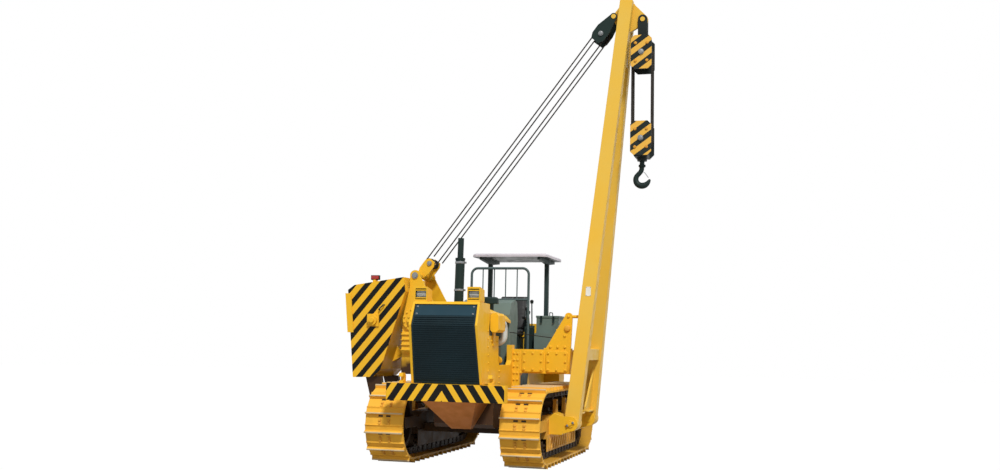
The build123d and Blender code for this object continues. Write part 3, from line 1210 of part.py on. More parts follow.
def weight_feet():
    """Brackets on the right track frame for the counterweight's hinge pins."""
    frame_x = -TRACK_X - FRAME_HALF
    shapes = []
    half = WEIGHT_ARM_HALF + EAR_GAP + EAR_THICK
    box_end = WEIGHT_HINGE_X + WEIGHT_ARM_R + 16
    for side in (1, -1):
        middle = side * WEIGHT_ARM_Y
        box = plate_xz(
            [
                (frame_x, GUARD_HIGH),
                (frame_x - GUARD_THICK - RIB_PROUD, GUARD_HIGH),
                (box_end, WEIGHT_FOOT_LOW),
                (box_end, WEIGHT_FOOT_HIGH),
                (frame_x - 150, WEIGHT_FOOT_HIGH),
                (frame_x, FRAME_HIGH - 20),
            ],
            (middle - half, middle + half),
        )
        pieces = [box]
        for edge in (1, -1):
            y = sorted((middle + edge * (half - EAR_THICK), middle + edge * half))
            ear = plate_xz(
                [
                    (box_end + 40, WEIGHT_FOOT_LOW),
                    (WEIGHT_HINGE_X, WEIGHT_HINGE_Z - WEIGHT_ARM_R),
                    (WEIGHT_HINGE_X, WEIGHT_HINGE_Z + WEIGHT_ARM_R),
                    (box_end + 40, WEIGHT_FOOT_HIGH),
                ],
                y,
            )
            pieces += [ear, disc_y(WEIGHT_HINGE_X, WEIGHT_HINGE_Z, WEIGHT_ARM_R, y)]
        pieces.append(
            disc_y(WEIGHT_HINGE_X, WEIGHT_HINGE_Z, WEIGHT_PIN_R, (middle - half - 12, middle + half + 12))
        )
        shapes.append(joined(pieces))
    return Compound(shapes)


def weight_outline():
    """Side outline of the counterweight as (x, z)."""
    return [(WEIGHT_HINGE_X + x, WEIGHT_HINGE_Z + z) for x, z in WEIGHT_PROFILE]


def weight_outside(z):
    """x of the sloping outer face at a height."""
    (high_x, high_z), (low_x, low_z) = weight_outline()[0], weight_outline()[-1]
    return low_x + (high_x - low_x) * (z - low_z) / (high_z - low_z)


def counterweight():
    """Slab stack with a grooved top, an edge bar and a boss on its front, and the ram's lugs inside."""
    outline = weight_outline()
    slab = plate_xz(outline, (WEIGHT_FRONT, WEIGHT_BACK))
    step = (WEIGHT_BACK - WEIGHT_FRONT) / (WEIGHT_GROOVES + 1)
    wide = (min(x for x, z in outline) - GROOVE_REACH, max(x for x, z in outline) + GROOVE_REACH)
    high = (WEIGHT_HINGE_Z + GROOVE_FLOOR, max(z for x, z in outline) + GROOVE_REACH)
    cuts = []
    for count in range(WEIGHT_GROOVES):
        y = WEIGHT_FRONT + (count + 1) * step
        cuts.append(block(wide, (y - GROOVE_HALF, y + GROOVE_HALF), high))
    pieces = [slab.cut(*cuts)]
    low_z, high_z = WEIGHT_HINGE_Z + SLAB_LOW, WEIGHT_HINGE_Z + SLAB_HIGH
    bar = [
        (weight_outside(low_z) - SLAB_OUT, low_z),
        (weight_outside(low_z) + SLAB_IN, low_z),
        (weight_outside(high_z) + SLAB_IN, high_z),
        (weight_outside(high_z) - SLAB_OUT, high_z),
    ]
    pieces.append(plate_xz(bar, (WEIGHT_FRONT - SLAB_PROUD, WEIGHT_FRONT + SLAB_DEEP)))
    boss_x, boss_z = WEIGHT_HINGE_X + BOSS_X, WEIGHT_HINGE_Z + BOSS_Z
    plate_y = (WEIGHT_FRONT - SLAB_PROUD, WEIGHT_FRONT + 5)
    pieces += [
        block(
            (boss_x - BOSS_PLATE, boss_x + BOSS_PLATE),
            plate_y,
            (boss_z - BOSS_PLATE, boss_z + BOSS_PLATE),
        ),
        disc_y(boss_x, boss_z, BOSS_R, (WEIGHT_FRONT - BOSS_PROUD, WEIGHT_FRONT)),
        disc_y(boss_x, boss_z, BOSS_PIN_R, (WEIGHT_FRONT - BOSS_PROUD - 30, WEIGHT_FRONT)),
    ]
    for side in (1, -1):
        y = sorted((side * (RAM_EYE_HALF + RAM_LUG_GAP), side * (RAM_EYE_HALF + RAM_LUG_GAP + RAM_LUG_THICK)))
        lug = plate_xz(
            [
                (RAM_EYE_X - 140, RAM_EYE_Z - 140),
                (RAM_EYE_X, RAM_EYE_Z - RAM_FOOT_R),
                (RAM_EYE_X, RAM_EYE_Z + RAM_FOOT_R),
                (RAM_EYE_X - 60, RAM_EYE_Z + 160),
            ],
            y,
        )
        pieces += [lug, disc_y(RAM_EYE_X, RAM_EYE_Z, RAM_FOOT_R, y)]
    reach = RAM_EYE_HALF + RAM_LUG_GAP + RAM_LUG_THICK + 8
    pieces.append(disc_y(RAM_EYE_X, RAM_EYE_Z, RAM_PIN_R, (-reach, reach)))
    return joined(pieces)


def weight_arms():
    """Two arms from the counterweight's base down to the hinge pins."""
    shapes = []
    for side in (1, -1):
        y = (side * WEIGHT_ARM_Y - WEIGHT_ARM_HALF, side * WEIGHT_ARM_Y + WEIGHT_ARM_HALF)
        arm = plate_xz(
            [
                (WEIGHT_HINGE_X - WEIGHT_ARM_R, WEIGHT_HINGE_Z),
                (WEIGHT_HINGE_X + WEIGHT_ARM_R, WEIGHT_HINGE_Z),
                (WEIGHT_HINGE_X + 20, WEIGHT_HINGE_Z + ARM_HIGH),
                (WEIGHT_HINGE_X - 260, WEIGHT_HINGE_Z + ARM_HIGH),
            ],
            y,
        )
        arm += disc_y(WEIGHT_HINGE_X, WEIGHT_HINGE_Z, WEIGHT_ARM_R, y)
        arm -= disc_y(WEIGHT_HINGE_X, WEIGHT_HINGE_Z, WEIGHT_PIN_R + PIN_FIT, (y[0] - 5, y[1] + 5))
        arm -= plate_xz(weight_outline(), (y[0] - 5, y[1] + 5))
        shapes.append(arm)
    return Compound(shapes)


RAM_TURN = degrees(atan2(RAM_EYE_X - RAM_FOOT_X, RAM_EYE_Z - RAM_FOOT_Z))
RAM_CLOSED = hypot(RAM_EYE_X - RAM_FOOT_X, RAM_EYE_Z - RAM_FOOT_Z)


def on_ram(shape):
    """From the ram's own frame, with its foot at the origin and Z to its rod eye."""
    return Pos(RAM_FOOT_X, 0, RAM_FOOT_Z) * Rot(0, RAM_TURN, 0) * shape


def ram_barrel():
    """Barrel with its foot eye and a gland at the open end."""
    eye = disc_y(0, 0, RAM_FOOT_R, (-RAM_EYE_HALF, RAM_EYE_HALF))
    eye += block((-RAM_EYE_HALF, RAM_EYE_HALF), (-RAM_EYE_HALF, RAM_EYE_HALF), (0, RAM_BARREL_START + 5))
    tube = rod((0, 0, RAM_BARREL_START), (0, 0, RAM_BARREL_END), RAM_BARREL_R)
    tube -= rod((0, 0, RAM_ROD_START - 15), (0, 0, RAM_BARREL_END - RAM_GLAND), RAM_BORE_R)
    tube -= rod((0, 0, RAM_ROD_START - 15), (0, 0, RAM_BARREL_END + 5), RAM_ROD_R + RAM_GAP)
    return on_ram(eye + tube - disc_y(0, 0, RAM_PIN_R + PIN_FIT, (-RAM_EYE_HALF - 5, RAM_EYE_HALF + 5)))


def ram_rod():
    """Rod with an eye that has room for the pin to wander."""
    eye = disc_y(0, RAM_CLOSED, RAM_EYE_R, (-RAM_EYE_HALF, RAM_EYE_HALF))
    bar = rod((0, 0, RAM_ROD_START), (0, 0, RAM_CLOSED - RAM_EYE_R + 10), RAM_ROD_R)
    hole = disc_y(0, RAM_CLOSED, RAM_PIN_R + RAM_EYE_PLAY, (-RAM_EYE_HALF - 5, RAM_EYE_HALF + 5))
    return on_ram(eye + bar - hole)


# The luffing tackle runs straight from the gantry's pin to the boom's inner lug
LUFF_X, LUFF_Z = boom_point(LUG_INNER_X, LUG_Z)
HOIST_X, HOIST_Z = boom_point(LUG_OUTER_X, LUG_Z)
TACKLE_TURN = degrees(atan2(LUFF_X - GANTRY_X, LUFF_Z - GANTRY_Z))
TACKLE_LENGTH = hypot(LUFF_X - GANTRY_X, LUFF_Z - GANTRY_Z)
FALL_X = LUFF_SHEAVE_R + ROPE_R


def on_tackle(shape):
    """From the tackle's own frame, with the gantry's pin at the origin and Z to the boom's lug."""
    return Pos(GANTRY_X, 0, GANTRY_Z) * Rot(0, TACKLE_TURN, 0) * shape


def gantry_link():
    """Two broad link plates on the gantry's pin, with the axle of the sheaves between them."""
    pieces = []
    wide, far = LINK_HALF, LINK_LENGTH + LINK_HEAD
    for side in (1, -1):
        y = sorted((side * LUFF_CHEEK_IN, side * LUFF_CHEEK_OUT))
        half = LUFF_CHEEK_TOP
        plate = plate_xz(
            [
                (-half, 0),
                (half, 0),
                (wide, LINK_WAIST),
                (wide, LINK_LENGTH),
                (half, far),
                (-half, far),
                (-wide, LINK_LENGTH),
                (-wide, LINK_WAIST),
            ],
            y,
        )
        plate += disc_y(0, 0, half, y)
        pieces.append(plate - disc_y(0, 0, GANTRY_PIN_R + PIN_FIT, (y[0] - 5, y[1] + 5)))
    pieces.append(disc_y(0, LINK_LENGTH, LUFF_AXLE_R, (-LUFF_CHEEK_OUT - 8, LUFF_CHEEK_OUT + 8)))
    return on_tackle(joined(pieces))


def luffing_sheaves(z, live):
    """Two sheaves of the tackle at one end; the live side carries its own falls and its rim touches them."""
    shapes = []
    for side in (1, -1):
        y = (side * LUFF_SHEAVE_Y - LUFF_SHEAVE_HALF, side * LUFF_SHEAVE_Y + LUFF_SHEAVE_HALF)
        rim = LUFF_SHEAVE_R if side == live else LUFF_IDLE_R
        wheel = disc_y(0, z, rim, y) - disc_y(0, z, LUFF_AXLE_R + PIN_FIT, (y[0] - 5, y[1] + 5))
        shapes.append(on_tackle(wheel))
    return Compound(shapes)


def luffing_falls(side, start, end):
    """The two falls on one side of the tackle."""
    y = side * LUFF_SHEAVE_Y
    return Compound([on_tackle(rod((x, y, start), (x, y, end), ROPE_R)) for x in (-FALL_X, FALL_X)])


def luffing_block():
    """Hanging block of the tackle: two tapered cheeks on the boom's lug pin, with an axle and a tie."""
    sheave_z = TACKLE_LENGTH - LUFF_DROP
    pieces = []
    for side in (1, -1):
        y = sorted((side * LUFF_CHEEK_IN, side * LUFF_CHEEK_OUT))
        cheek = plate_xz(
            [
                (-LUFF_CHEEK_TOP, TACKLE_LENGTH),
                (LUFF_CHEEK_TOP, TACKLE_LENGTH),
                (LUFF_CHEEK_HALF - 20, sheave_z + 90),
                (LUFF_CHEEK_HALF - 20, sheave_z - 60),
                (LUFF_CHEEK_HALF - 60, sheave_z - LUFF_CHEEK_SKIRT),
                (-LUFF_CHEEK_HALF + 40, sheave_z - LUFF_CHEEK_SKIRT),
                (-LUFF_CHEEK_HALF, sheave_z - 60),
                (-LUFF_CHEEK_HALF, sheave_z + 90),
            ],
            y,
        )
        cheek += disc_y(0, TACKLE_LENGTH, LUFF_CHEEK_TOP, y)
        pieces.append(cheek - disc_y(0, TACKLE_LENGTH, LUG_PIN_R + PIN_FIT, (y[0] - 5, y[1] + 5)))
    pieces.append(disc_y(0, sheave_z, LUFF_AXLE_R, (-LUFF_CHEEK_OUT - 8, LUFF_CHEEK_OUT + 8)))
    return on_tackle(joined(pieces))


def hoist_cheeks(sheave_z):
    """Two eight-sided cheek plates around a row of hoist sheaves, with their axle."""
    half, rise, corner = HOIST_CHEEK_HALF, HOIST_CHEEK_RISE, HOIST_CHEEK_CORNER
    outline = [
        (HOIST_X - half, sheave_z - rise + corner),
        (HOIST_X - half + corner, sheave_z - rise),
        (HOIST_X + half - corner, sheave_z - rise),
        (HOIST_X + half, sheave_z - rise + corner),
        (HOIST_X + half, sheave_z + rise - corner),
        (HOIST_X + half - corner, sheave_z + rise),
        (HOIST_X - half + corner, sheave_z + rise),
        (HOIST_X - half, sheave_z + rise - corner),
    ]
    pieces = [plate_xz(outline, sorted((side * HOIST_CHEEK_IN, side * HOIST_CHEEK_OUT))) for side in (1, -1)]
    pieces.append(disc_y(HOIST_X, sheave_z, HOIST_AXLE_R, (-HOIST_CHEEK_OUT - 12, HOIST_CHEEK_OUT + 12)))
    return pieces


def hoist_sheaves(sheave_z):
    """A row of sheaves on one axle."""
    shapes = []
    for middle in HOIST_SHEAVE_YS:
        y = (middle - HOIST_SHEAVE_HALF, middle + HOIST_SHEAVE_HALF)
        wheel = disc_y(HOIST_X, sheave_z, HOIST_SHEAVE_R, y)
        shapes.append(wheel - disc_y(HOIST_X, sheave_z, HOIST_AXLE_R + PIN_FIT, (y[0] - 5, y[1] + 5)))
    return Compound(shapes)


def hoist_block():
    """Upper hoist block: a clevis on the boom's outer lug pin over the two cheeks."""
    sheave_z = HOIST_Z - HOIST_DROP
    beam_low = sheave_z + HOIST_CHEEK_RISE - HANGER_BEAM
    pieces = hoist_cheeks(sheave_z)
    pieces.append(
        block(
            (HOIST_X - HANGER_HALF, HOIST_X + HANGER_HALF),
            (-HOIST_CHEEK_IN - 2, HOIST_CHEEK_IN + 2),
            (beam_low, beam_low + HANGER_BEAM),
        )
    )
    for side in (1, -1):
        y = sorted((side * HANGER_IN, side * HANGER_OUT))
        strap = block((HOIST_X - HANGER_HALF, HOIST_X + HANGER_HALF), y, (beam_low, HOIST_Z))
        strap += disc_y(HOIST_X, HOIST_Z, HANGER_HALF, y)
        pieces.append(strap - disc_y(HOIST_X, HOIST_Z, LUG_PIN_R + PIN_FIT, (y[0] - 5, y[1] + 5)))
    return joined(pieces)


def hoist_ropes():
    """Falls between the upper hoist block and the hook block, tangent to the sheaves on both sides."""
    reach = HOIST_SHEAVE_R + ROPE_R
    shapes = []
    for y in HOIST_SHEAVE_YS:
        for x in (HOIST_X - reach, HOIST_X + reach):
            shapes.append(rod((x, y, HOIST_Z - HOIST_DROP), (x, y, HOIST_Z - HOOK_DROP), ROPE_R))
    return Compound(shapes)


def hook_block():
    """Lower hoist block: cheeks over a yoke that carries the hook's shank."""
    sheave_z = HOIST_Z - HOOK_DROP
    low = sheave_z - HOIST_CHEEK_RISE
    yoke = block(
        (HOIST_X - 110, HOIST_X + 110),
        (-HOIST_CHEEK_IN - 2, HOIST_CHEEK_IN + 2),
        (low - 15, low + HOOK_YOKE),
    )
    collar = rod((HOIST_X, 0, low - HOOK_YOKE), (HOIST_X, 0, low), HOOK_SHANK_R * 2)
    shape = joined([*hoist_cheeks(sheave_z), yoke, collar])
    bore = rod((HOIST_X, 0, low - HOOK_YOKE - 5), (HOIST_X, 0, low + HOOK_YOKE + 5), HOOK_SHANK_R + PIN_FIT)
    return shape - bore


def load_hook():
    """Forged hook that swivels in the yoke on a nut above it."""
    yoke_top = HOIST_Z - HOOK_DROP - HOIST_CHEEK_RISE + HOOK_YOKE
    bend_z = HOIST_Z - HOOK_LOW + HOOK_THICK_R + HOOK_BEND_R
    neck_z = bend_z + 2 * HOOK_BEND_R * sin(pi / 3)
    line = Line((0, neck_z + 30), (0, neck_z))
    neck = JernArc(line @ 1, line % 1, HOOK_BEND_R, -60)
    bowl = JernArc(neck @ 1, neck % 1, HOOK_BEND_R, 232)
    path = Plane.XZ * (line + neck + bowl)
    section = Plane((0, 0, neck_z + 30), z_dir=(0, 0, -1)) * RegularPolygon(HOOK_THICK_R, 8)
    shape = sweep(section, path=path)
    shank = rod((0, 0, neck_z + 10), (0, 0, yoke_top + 6), HOOK_SHANK_R)
    nut = rod((0, 0, yoke_top + FACE_FIT), (0, 0, yoke_top + 52), HOOK_SHANK_R * 1.7)
    return Pos(HOIST_X, 0, 0) * joined([shape, shank, nut])


def all_nodes():
    """Every piece by its name, in the tractor's frame."""
    own_falls, far_falls = LINK_LENGTH, TACKLE_LENGTH - LUFF_DROP
    hoist_z, hook_z = HOIST_Z - HOIST_DROP, HOIST_Z - HOOK_DROP
    return {
        "main_frame": main_frame(),
        "hard_bars": hard_bars(),
        "track_frames": Compound([track_frame(1), track_frame(-1)]),
        "track_left": track_loop(1),
        "track_right": track_loop(-1),
        "idlers": Compound([idler(1), idler(-1)]),
        "sprockets": Compound([sprocket(1), sprocket(-1)]),
        "track_rollers": Compound([*rollers(1), *rollers(-1)]),
        "final_drives": Compound([final_drive(1), final_drive(-1)]),
        "front_bumper": bumper(),
        "sump_guard": sump_guard(),
        "radiator_guard": radiator_guard(),
        "radiator_grille": grille(),
        "engine_hood": hood(),
        "engine_block": engine(),
        "lamp_boxes": lamp_boxes(),
        "lamp_lenses": lamp_lenses(),
        "exhaust_stack": exhaust(),
        "air_precleaner": precleaner(),
        "air_cleaner": air_cleaner(),
        "air_pipe": air_pipe(),
        "operator_deck": deck(),
        "dash_cowl": dash(),
        "operator_seat": seat(),
        "battery_box": battery_box(),
        "oil_tank": oil_tank(),
        "control_levers": levers(),
        "guard_rail": guard_rail(),
        "canopy_posts": canopy_posts(),
        "canopy_roof": canopy_roof(),
        "fuel_tank": fuel_tank(),
        "drawbar": drawbar(),
        "boom_beam": boom_beam(),
        "boom_stop": boom_stop(),
        "boom_feet": boom_feet(),
        "gantry_frame": gantry(),
        "winch_covers": winch_covers(),
        "winch_drums": winch_drums(),
        "weight_feet": weight_feet(),
        "boom_legs": boom_legs(),
        "boom_braces": boom_braces(),
        "boom_head": boom_head(),
        "luffing_block": luffing_block(),
        "luffing_block_sheaves": luffing_sheaves(far_falls, 1),
        "luffing_block_falls": luffing_falls(1, own_falls + LUFF_FALL_SHORT, far_falls),
        "gantry_link": gantry_link(),
        "gantry_sheaves": luffing_sheaves(own_falls, -1),
        "gantry_falls": luffing_falls(-1, own_falls, far_falls - LUFF_FALL_SHORT),
        "hoist_block": hoist_block(),
        "hoist_block_sheaves": hoist_sheaves(hoist_z),
        "hoist_ropes": hoist_ropes(),
        "hook_block": hook_block(),
        "hook_block_sheaves": hoist_sheaves(hook_z),
        "load_hook": load_hook(),
        "counterweight": counterweight(),
        "counterweight_arms": weight_arms(),
        "ram_barrel": ram_barrel(),
        "ram_rod": ram_rod(),
    }


def part_frame(nodes):
    """The move that puts the origin on the ground below the middle of the overall box."""
    boxes = [shape.bounding_box() for shape in nodes.values()]
    low_x, high_x = min(box.min.X for box in boxes), max(box.max.X for box in boxes)
    low_y, high_y = min(box.min.Y for box in boxes), max(box.max.Y for box in boxes)
    return -(low_x + high_x) / 2, -(low_y + high_y) / 2, -min(box.min.Z for box in boxes)


def main():
    nodes = all_nodes()
    move = Pos(*part_frame(nodes))
    os.makedirs("parts", exist_ok=True)
    for name, shape in nodes.items():
        export_step(move * shape, f"parts/{name}.step")


if __name__ == "__main__":
    main()
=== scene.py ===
"""Sideboom pipelayer: paint, ropes, seat and small fittings around the solid model, in metres."""

import json
import math

import bmesh
import bpy
from mathutils import Matrix, Vector


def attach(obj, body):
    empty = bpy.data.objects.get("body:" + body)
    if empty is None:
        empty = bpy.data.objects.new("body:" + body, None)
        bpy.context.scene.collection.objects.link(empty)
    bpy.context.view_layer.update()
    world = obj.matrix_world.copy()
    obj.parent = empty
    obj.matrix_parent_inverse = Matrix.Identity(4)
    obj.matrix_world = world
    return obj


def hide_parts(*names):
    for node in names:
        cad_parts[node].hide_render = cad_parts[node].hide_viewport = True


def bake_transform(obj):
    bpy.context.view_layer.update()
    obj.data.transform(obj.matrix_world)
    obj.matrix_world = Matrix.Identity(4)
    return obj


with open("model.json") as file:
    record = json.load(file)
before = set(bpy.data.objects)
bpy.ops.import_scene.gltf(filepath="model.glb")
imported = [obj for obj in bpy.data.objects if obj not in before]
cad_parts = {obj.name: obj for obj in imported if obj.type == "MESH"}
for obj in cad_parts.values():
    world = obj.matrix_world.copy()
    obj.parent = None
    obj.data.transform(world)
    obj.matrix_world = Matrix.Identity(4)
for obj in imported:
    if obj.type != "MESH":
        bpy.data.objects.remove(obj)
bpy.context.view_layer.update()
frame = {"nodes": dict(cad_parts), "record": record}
nodes = frame["nodes"]

MM = 0.001
joint_at = {joint["name"]: Vector(joint["pos_m"]) for joint in frame["record"]["behaviour"]["joints"]
            if joint.get("pos_m")}
# Sizes that the pieces share with the solids, in millimetres from the tractor's own zero, which is on the
# ground below the middle of its tracks: x to the boom's side, y to the rear, z up. SEAT_RAKE is in radians,
# STACK_LEAN in degrees, and SHOE_COUNT a number of shoes.
FOOT_X, FOOT_Z = 1570, 640
TRACK_X, LINK_PITCH, SHOE_COUNT = 1060, 225, 40
PITCH_RADIUS, WHEEL_Z, WHEEL_Y = 460, 610, 1527.4
SHOE_FACE, LINK_SIDE, HUB_X = 90, 107, 1225
ROPE_R, FALL_X, FALL_Y, LINK_LENGTH, LUFF_DROP, FALL_SHORT = 12, 98, 110, 280, 350, 100
HOIST_DROP, HOOK_DROP, YOKE_DROP, HOIST_REACH, HOIST_YS = 590, 2030, 215, 162, (-120, 0, 120)
DRUMS = ((-1230, 2240), (-950, 1850))
DRUM_ROPE_R, DRUM_HALF = 147, 325
BOOM_PLATE_X, BOOM_PLATE_Z, RAM_EYE = 1781, 2720, (-1600, 0, 1660)
WINCH_FACE, BEAM_FACE, WEIGHT_FACE, BUMPER_FACE, BLOCK_FACE = -450, -542, -520, -2415, -200
BEAM_COVERS, BEAM_COVER_RIM, BEAM_BRACKET_X = ((689, 1039), (1084, 1435)), 36, (556, 614)
BLOCK_SIDE, LUFF_SIDE, GANTRY_SIDE, FOOT_SIDE = 211, 165, 406, 908
SEAT_Y, SEAT_TOP, SEAT_HALF, SEAT_DEEP, SEAT_RAKE, DECK_TOP = 1210, 2140, 265, 460, 0.131, 1750
LAMP_X, LAMP_Z, LAMP_HALF, LAMP_FRONT, LAMP_BACK = 412, 2466, 83.5, -2393, -2326
NOSE_KNEE_Y, NOSE_KNEE_Z, NOSE_RAKE, NOSE_RISE = -2570, 2115, 155, 351
STACK_X, STACK_Y, STACK_Z, STACK_LEAN, STACK_R = -200, -1200, 2455, 2.8, 77.5
DASH_Y, DASH_Z, DASH_RAKE, DASH_RISE = 93, 2450, 60, 290
RAIL_X, RAIL_Y = 513, 500
TANK_FRONT, TANK_REAR, TANK_FOOT, TANK_TOP, TANK_ROUND = 1934, 2345, 1175, 2255, 73
STRAP_XS, LOCKER_X, LOCKER_TOP, PEDAL_XS = (-470, 470), 711, 2377, (-190, 0, 190)

LEFT, REAR, UP = Vector((1, 0, 0)), Vector((0, 1, 0)), Vector((0, 0, 1))
RIGHT, FRONT, DOWN = -LEFT, -REAR, -UP
ZERO = joint_at["boom_luff"] - Vector((FOOT_X, 0, FOOT_Z)) * MM


def at(x, y, z):
    """A point in the frame, from millimetres off the tractor's own zero."""
    return ZERO + Vector((x, y, z)) * MM


# Camera, floor and light


def place_camera():
    """Standing height, in front of the boom side's corner, looking a little up."""
    lens_data = bpy.data.cameras.new("site_camera")
    lens_data.sensor_width = 36.0
    lens_data.lens = 39.6
    lens_data.clip_end = 200.0
    camera = bpy.data.objects.new("site_camera", lens_data)
    camera.location = at(5142, -17878, 1822)
    yaw, pitch, roll = (math.radians(angle) for angle in (15.68, 95.78, 1.15))
    turned = Matrix.Rotation(yaw, 3, "Z") @ Matrix.Rotation(pitch, 3, "X") @ Matrix.Rotation(roll, 3, "Z")
    camera.rotation_euler = turned.to_euler()
    bpy.context.scene.collection.objects.link(camera)
    bpy.context.scene.camera = camera


def linear(code):
    """An sRGB hex colour as the linear RGBA that the nodes take."""
    channels = [int(code[i:i + 2], 16) / 255 for i in (1, 3, 5)]
    return [c / 12.92 if c <= 0.04045 else ((c + 0.055) / 1.055) ** 2.4 for c in channels] + [1.0]


def node(tree, kind, inputs=None, **settings):
    """Adds a shader node with its settings. An input is a value, a hex colour, or the socket or node
    that feeds it, by its first output."""
    made = tree.nodes.new("ShaderNode" + kind)
    for key, value in settings.items():
        setattr(made, key, value)
    for key, value in (inputs or {}).items():
        if isinstance(value, bpy.types.Node):
            value = value.outputs[0]
        if isinstance(value, bpy.types.NodeSocket):
            tree.links.new(value, made.inputs[key])
        else:
            made.inputs[key].default_value = linear(value) if isinstance(value, str) else value
    return made


def new_tree(owner):
    """The owner's node tree, emptied."""
    owner.use_nodes = True
    owner.node_tree.nodes.clear()
    return owner.node_tree


def seen_directly(tree):
    """1 on camera, mirror and glass rays: the background's own look, away from the light it gives."""
    path = node(tree, "LightPath")
    first = node(tree, "Math", {0: path.outputs["Is Camera Ray"], 1: path.outputs["Is Glossy Ray"]},
                 operation="MAXIMUM")
    return node(tree, "Math", {0: first, 1: path.outputs["Is Transmission Ray"]}, operation="MAXIMUM")


def make_studio():
    """Soft sky, one broad key from the front right, and a pale floor that fades into white."""
    scene = bpy.context.scene
    scene.view_settings.view_transform = "Standard"
    world = bpy.data.worlds.new("soft_sky")
    scene.world = world
    tree = new_tree(world)
    fill = node(tree, "Background", {"Color": "#F1F5FC", "Strength": 0.60})
    white = node(tree, "Background", {"Color": "#FFFFFF", "Strength": 1.0})
    mix = node(tree, "MixShader", {0: seen_directly(tree), 1: fill, 2: white})
    node(tree, "OutputWorld", {"Surface": mix})

    key = bpy.data.lights.new("key", "SUN")
    key.energy = 2.8
    key.angle = math.radians(8)
    key.color = (1.0, 0.98, 0.94)
    key_object = bpy.data.objects.new("key", key)
    key_object.rotation_euler = Vector((-0.34, 0.62, -0.80)).to_track_quat("-Z", "Y").to_euler()
    scene.collection.objects.link(key_object)

    bpy.ops.object.select_all(action="DESELECT")
    bpy.ops.mesh.primitive_circle_add(vertices=64, radius=60, fill_type="NGON", location=(0, 0, -0.001))
    floor = bpy.context.object
    floor.name = "floor"
    concrete = bpy.data.materials.new("pale_concrete_floor")
    tree = new_tree(concrete)
    matt = node(tree, "BsdfDiffuse", {"Color": "#A5A29C"})
    glow = node(tree, "Emission", {"Color": "#FFFFFF", "Strength": 1.03})
    share = node(tree, "Math", {0: seen_directly(tree), 1: 0.97}, operation="MULTIPLY")
    mix = node(tree, "MixShader", {0: share, 1: matt, 2: glow})
    node(tree, "OutputMaterial", {"Surface": mix})
    floor.data.materials.append(concrete)


place_camera()
make_studio()


# Where a second colour goes on a painted piece: each gives a 0 to 1 share from the place on it


def bands(face_y, period, lean, share, start=0.0, fold=False):
    """Painted warning bands on the flat face at face_y, at a lean in degrees from the horizontal.
    fold turns them into a chevron about the middle of the machine."""
    def pattern(tree, where):
        axes = node(tree, "SeparateXYZ", {0: where})
        across = axes.outputs[0]
        if fold:
            off = node(tree, "Math", {0: across, 1: ZERO.x - 0.040}, operation="SUBTRACT")
            across = node(tree, "Math", {0: off}, operation="ABSOLUTE")
        slope = math.radians(lean)
        rise = node(tree, "Math", {0: axes.outputs[2], 1: math.cos(slope) * (1 if fold else -1)},
                    operation="MULTIPLY")
        run = node(tree, "Math", {0: across, 1: math.sin(slope), 2: rise}, operation="MULTIPLY_ADD")
        turns = node(tree, "Math", {0: run, 1: 1 / (period * MM), 2: start}, operation="MULTIPLY_ADD")
        part = node(tree, "Math", {0: turns}, operation="FRACT")
        band = node(tree, "Math", {0: part, 1: share}, operation="LESS_THAN")
        plane = node(tree, "Math", {0: axes.outputs[1], 1: ZERO.y + face_y * MM, 2: 0.004},
                     operation="COMPARE")
        return node(tree, "Math", {0: band, 1: plane}, operation="MULTIPLY")
    return pattern


def below(height, soft):
    """Up to a height, with a soft uneven edge: where painted shade goes on the low plates."""
    def pattern(tree, where):
        up = node(tree, "SeparateXYZ", {0: where}).outputs[2]
        ragged = node(tree, "TexNoise", {"Vector": where, "Scale": 1 / 0.12, "Detail": 4.0})
        edge = node(tree, "Math", {0: ragged, 1: soft * MM, 2: up}, operation="MULTIPLY_ADD")
        return node(tree, "MapRange", {"Value": edge, "From Min": (height + soft) * MM,
                                       "From Max": height * MM})
    return pattern


def within_hull(half):
    """The parts of the undercarriage that stand in the hull's shade, within half of the middle."""
    def pattern(tree, where):
        across = node(tree, "SeparateXYZ", {0: where}).outputs[0]
        off = node(tree, "Math", {0: across, 1: ZERO.x}, operation="SUBTRACT")
        side = node(tree, "Math", {0: off}, operation="ABSOLUTE")
        return node(tree, "MapRange", {"Value": side, "From Min": (half + 20) * MM, "From Max": half * MM})
    return pattern


def round_loop(depth, inner):
    """A track's link side, nearer the wheels than depth outside the pitch line, or else its outer rims."""
    def pattern(tree, where):
        axes = node(tree, "SeparateXYZ", {0: where})
        along = node(tree, "Math", {0: axes.outputs[1], 1: ZERO.y}, operation="SUBTRACT")
        near = node(tree, "Clamp", {"Value": along, "Min": -WHEEL_Y * MM, "Max": WHEEL_Y * MM})
        beyond = node(tree, "Math", {0: along, 1: near}, operation="SUBTRACT")
        up = node(tree, "Math", {0: axes.outputs[2], 1: WHEEL_Z * MM}, operation="SUBTRACT")
        flat = node(tree, "CombineXYZ", {0: beyond, 1: up})
        reach = node(tree, "VectorMath", {0: flat}, operation="LENGTH").outputs["Value"]
        edge, soft = (PITCH_RADIUS + depth) * MM, 0.006 if inner else -0.006
        return node(tree, "MapRange", {"Value": reach, "From Min": edge + soft, "From Max": edge - soft})
    return pattern


def underneath(tree, where):
    """Undersides: all that looks down, where painted shade goes."""
    look = node(tree, "SeparateXYZ", {0: node(tree, "NewGeometry").outputs["True Normal"]}).outputs[2]
    return node(tree, "Math", {0: look, 1: -0.5}, operation="LESS_THAN")


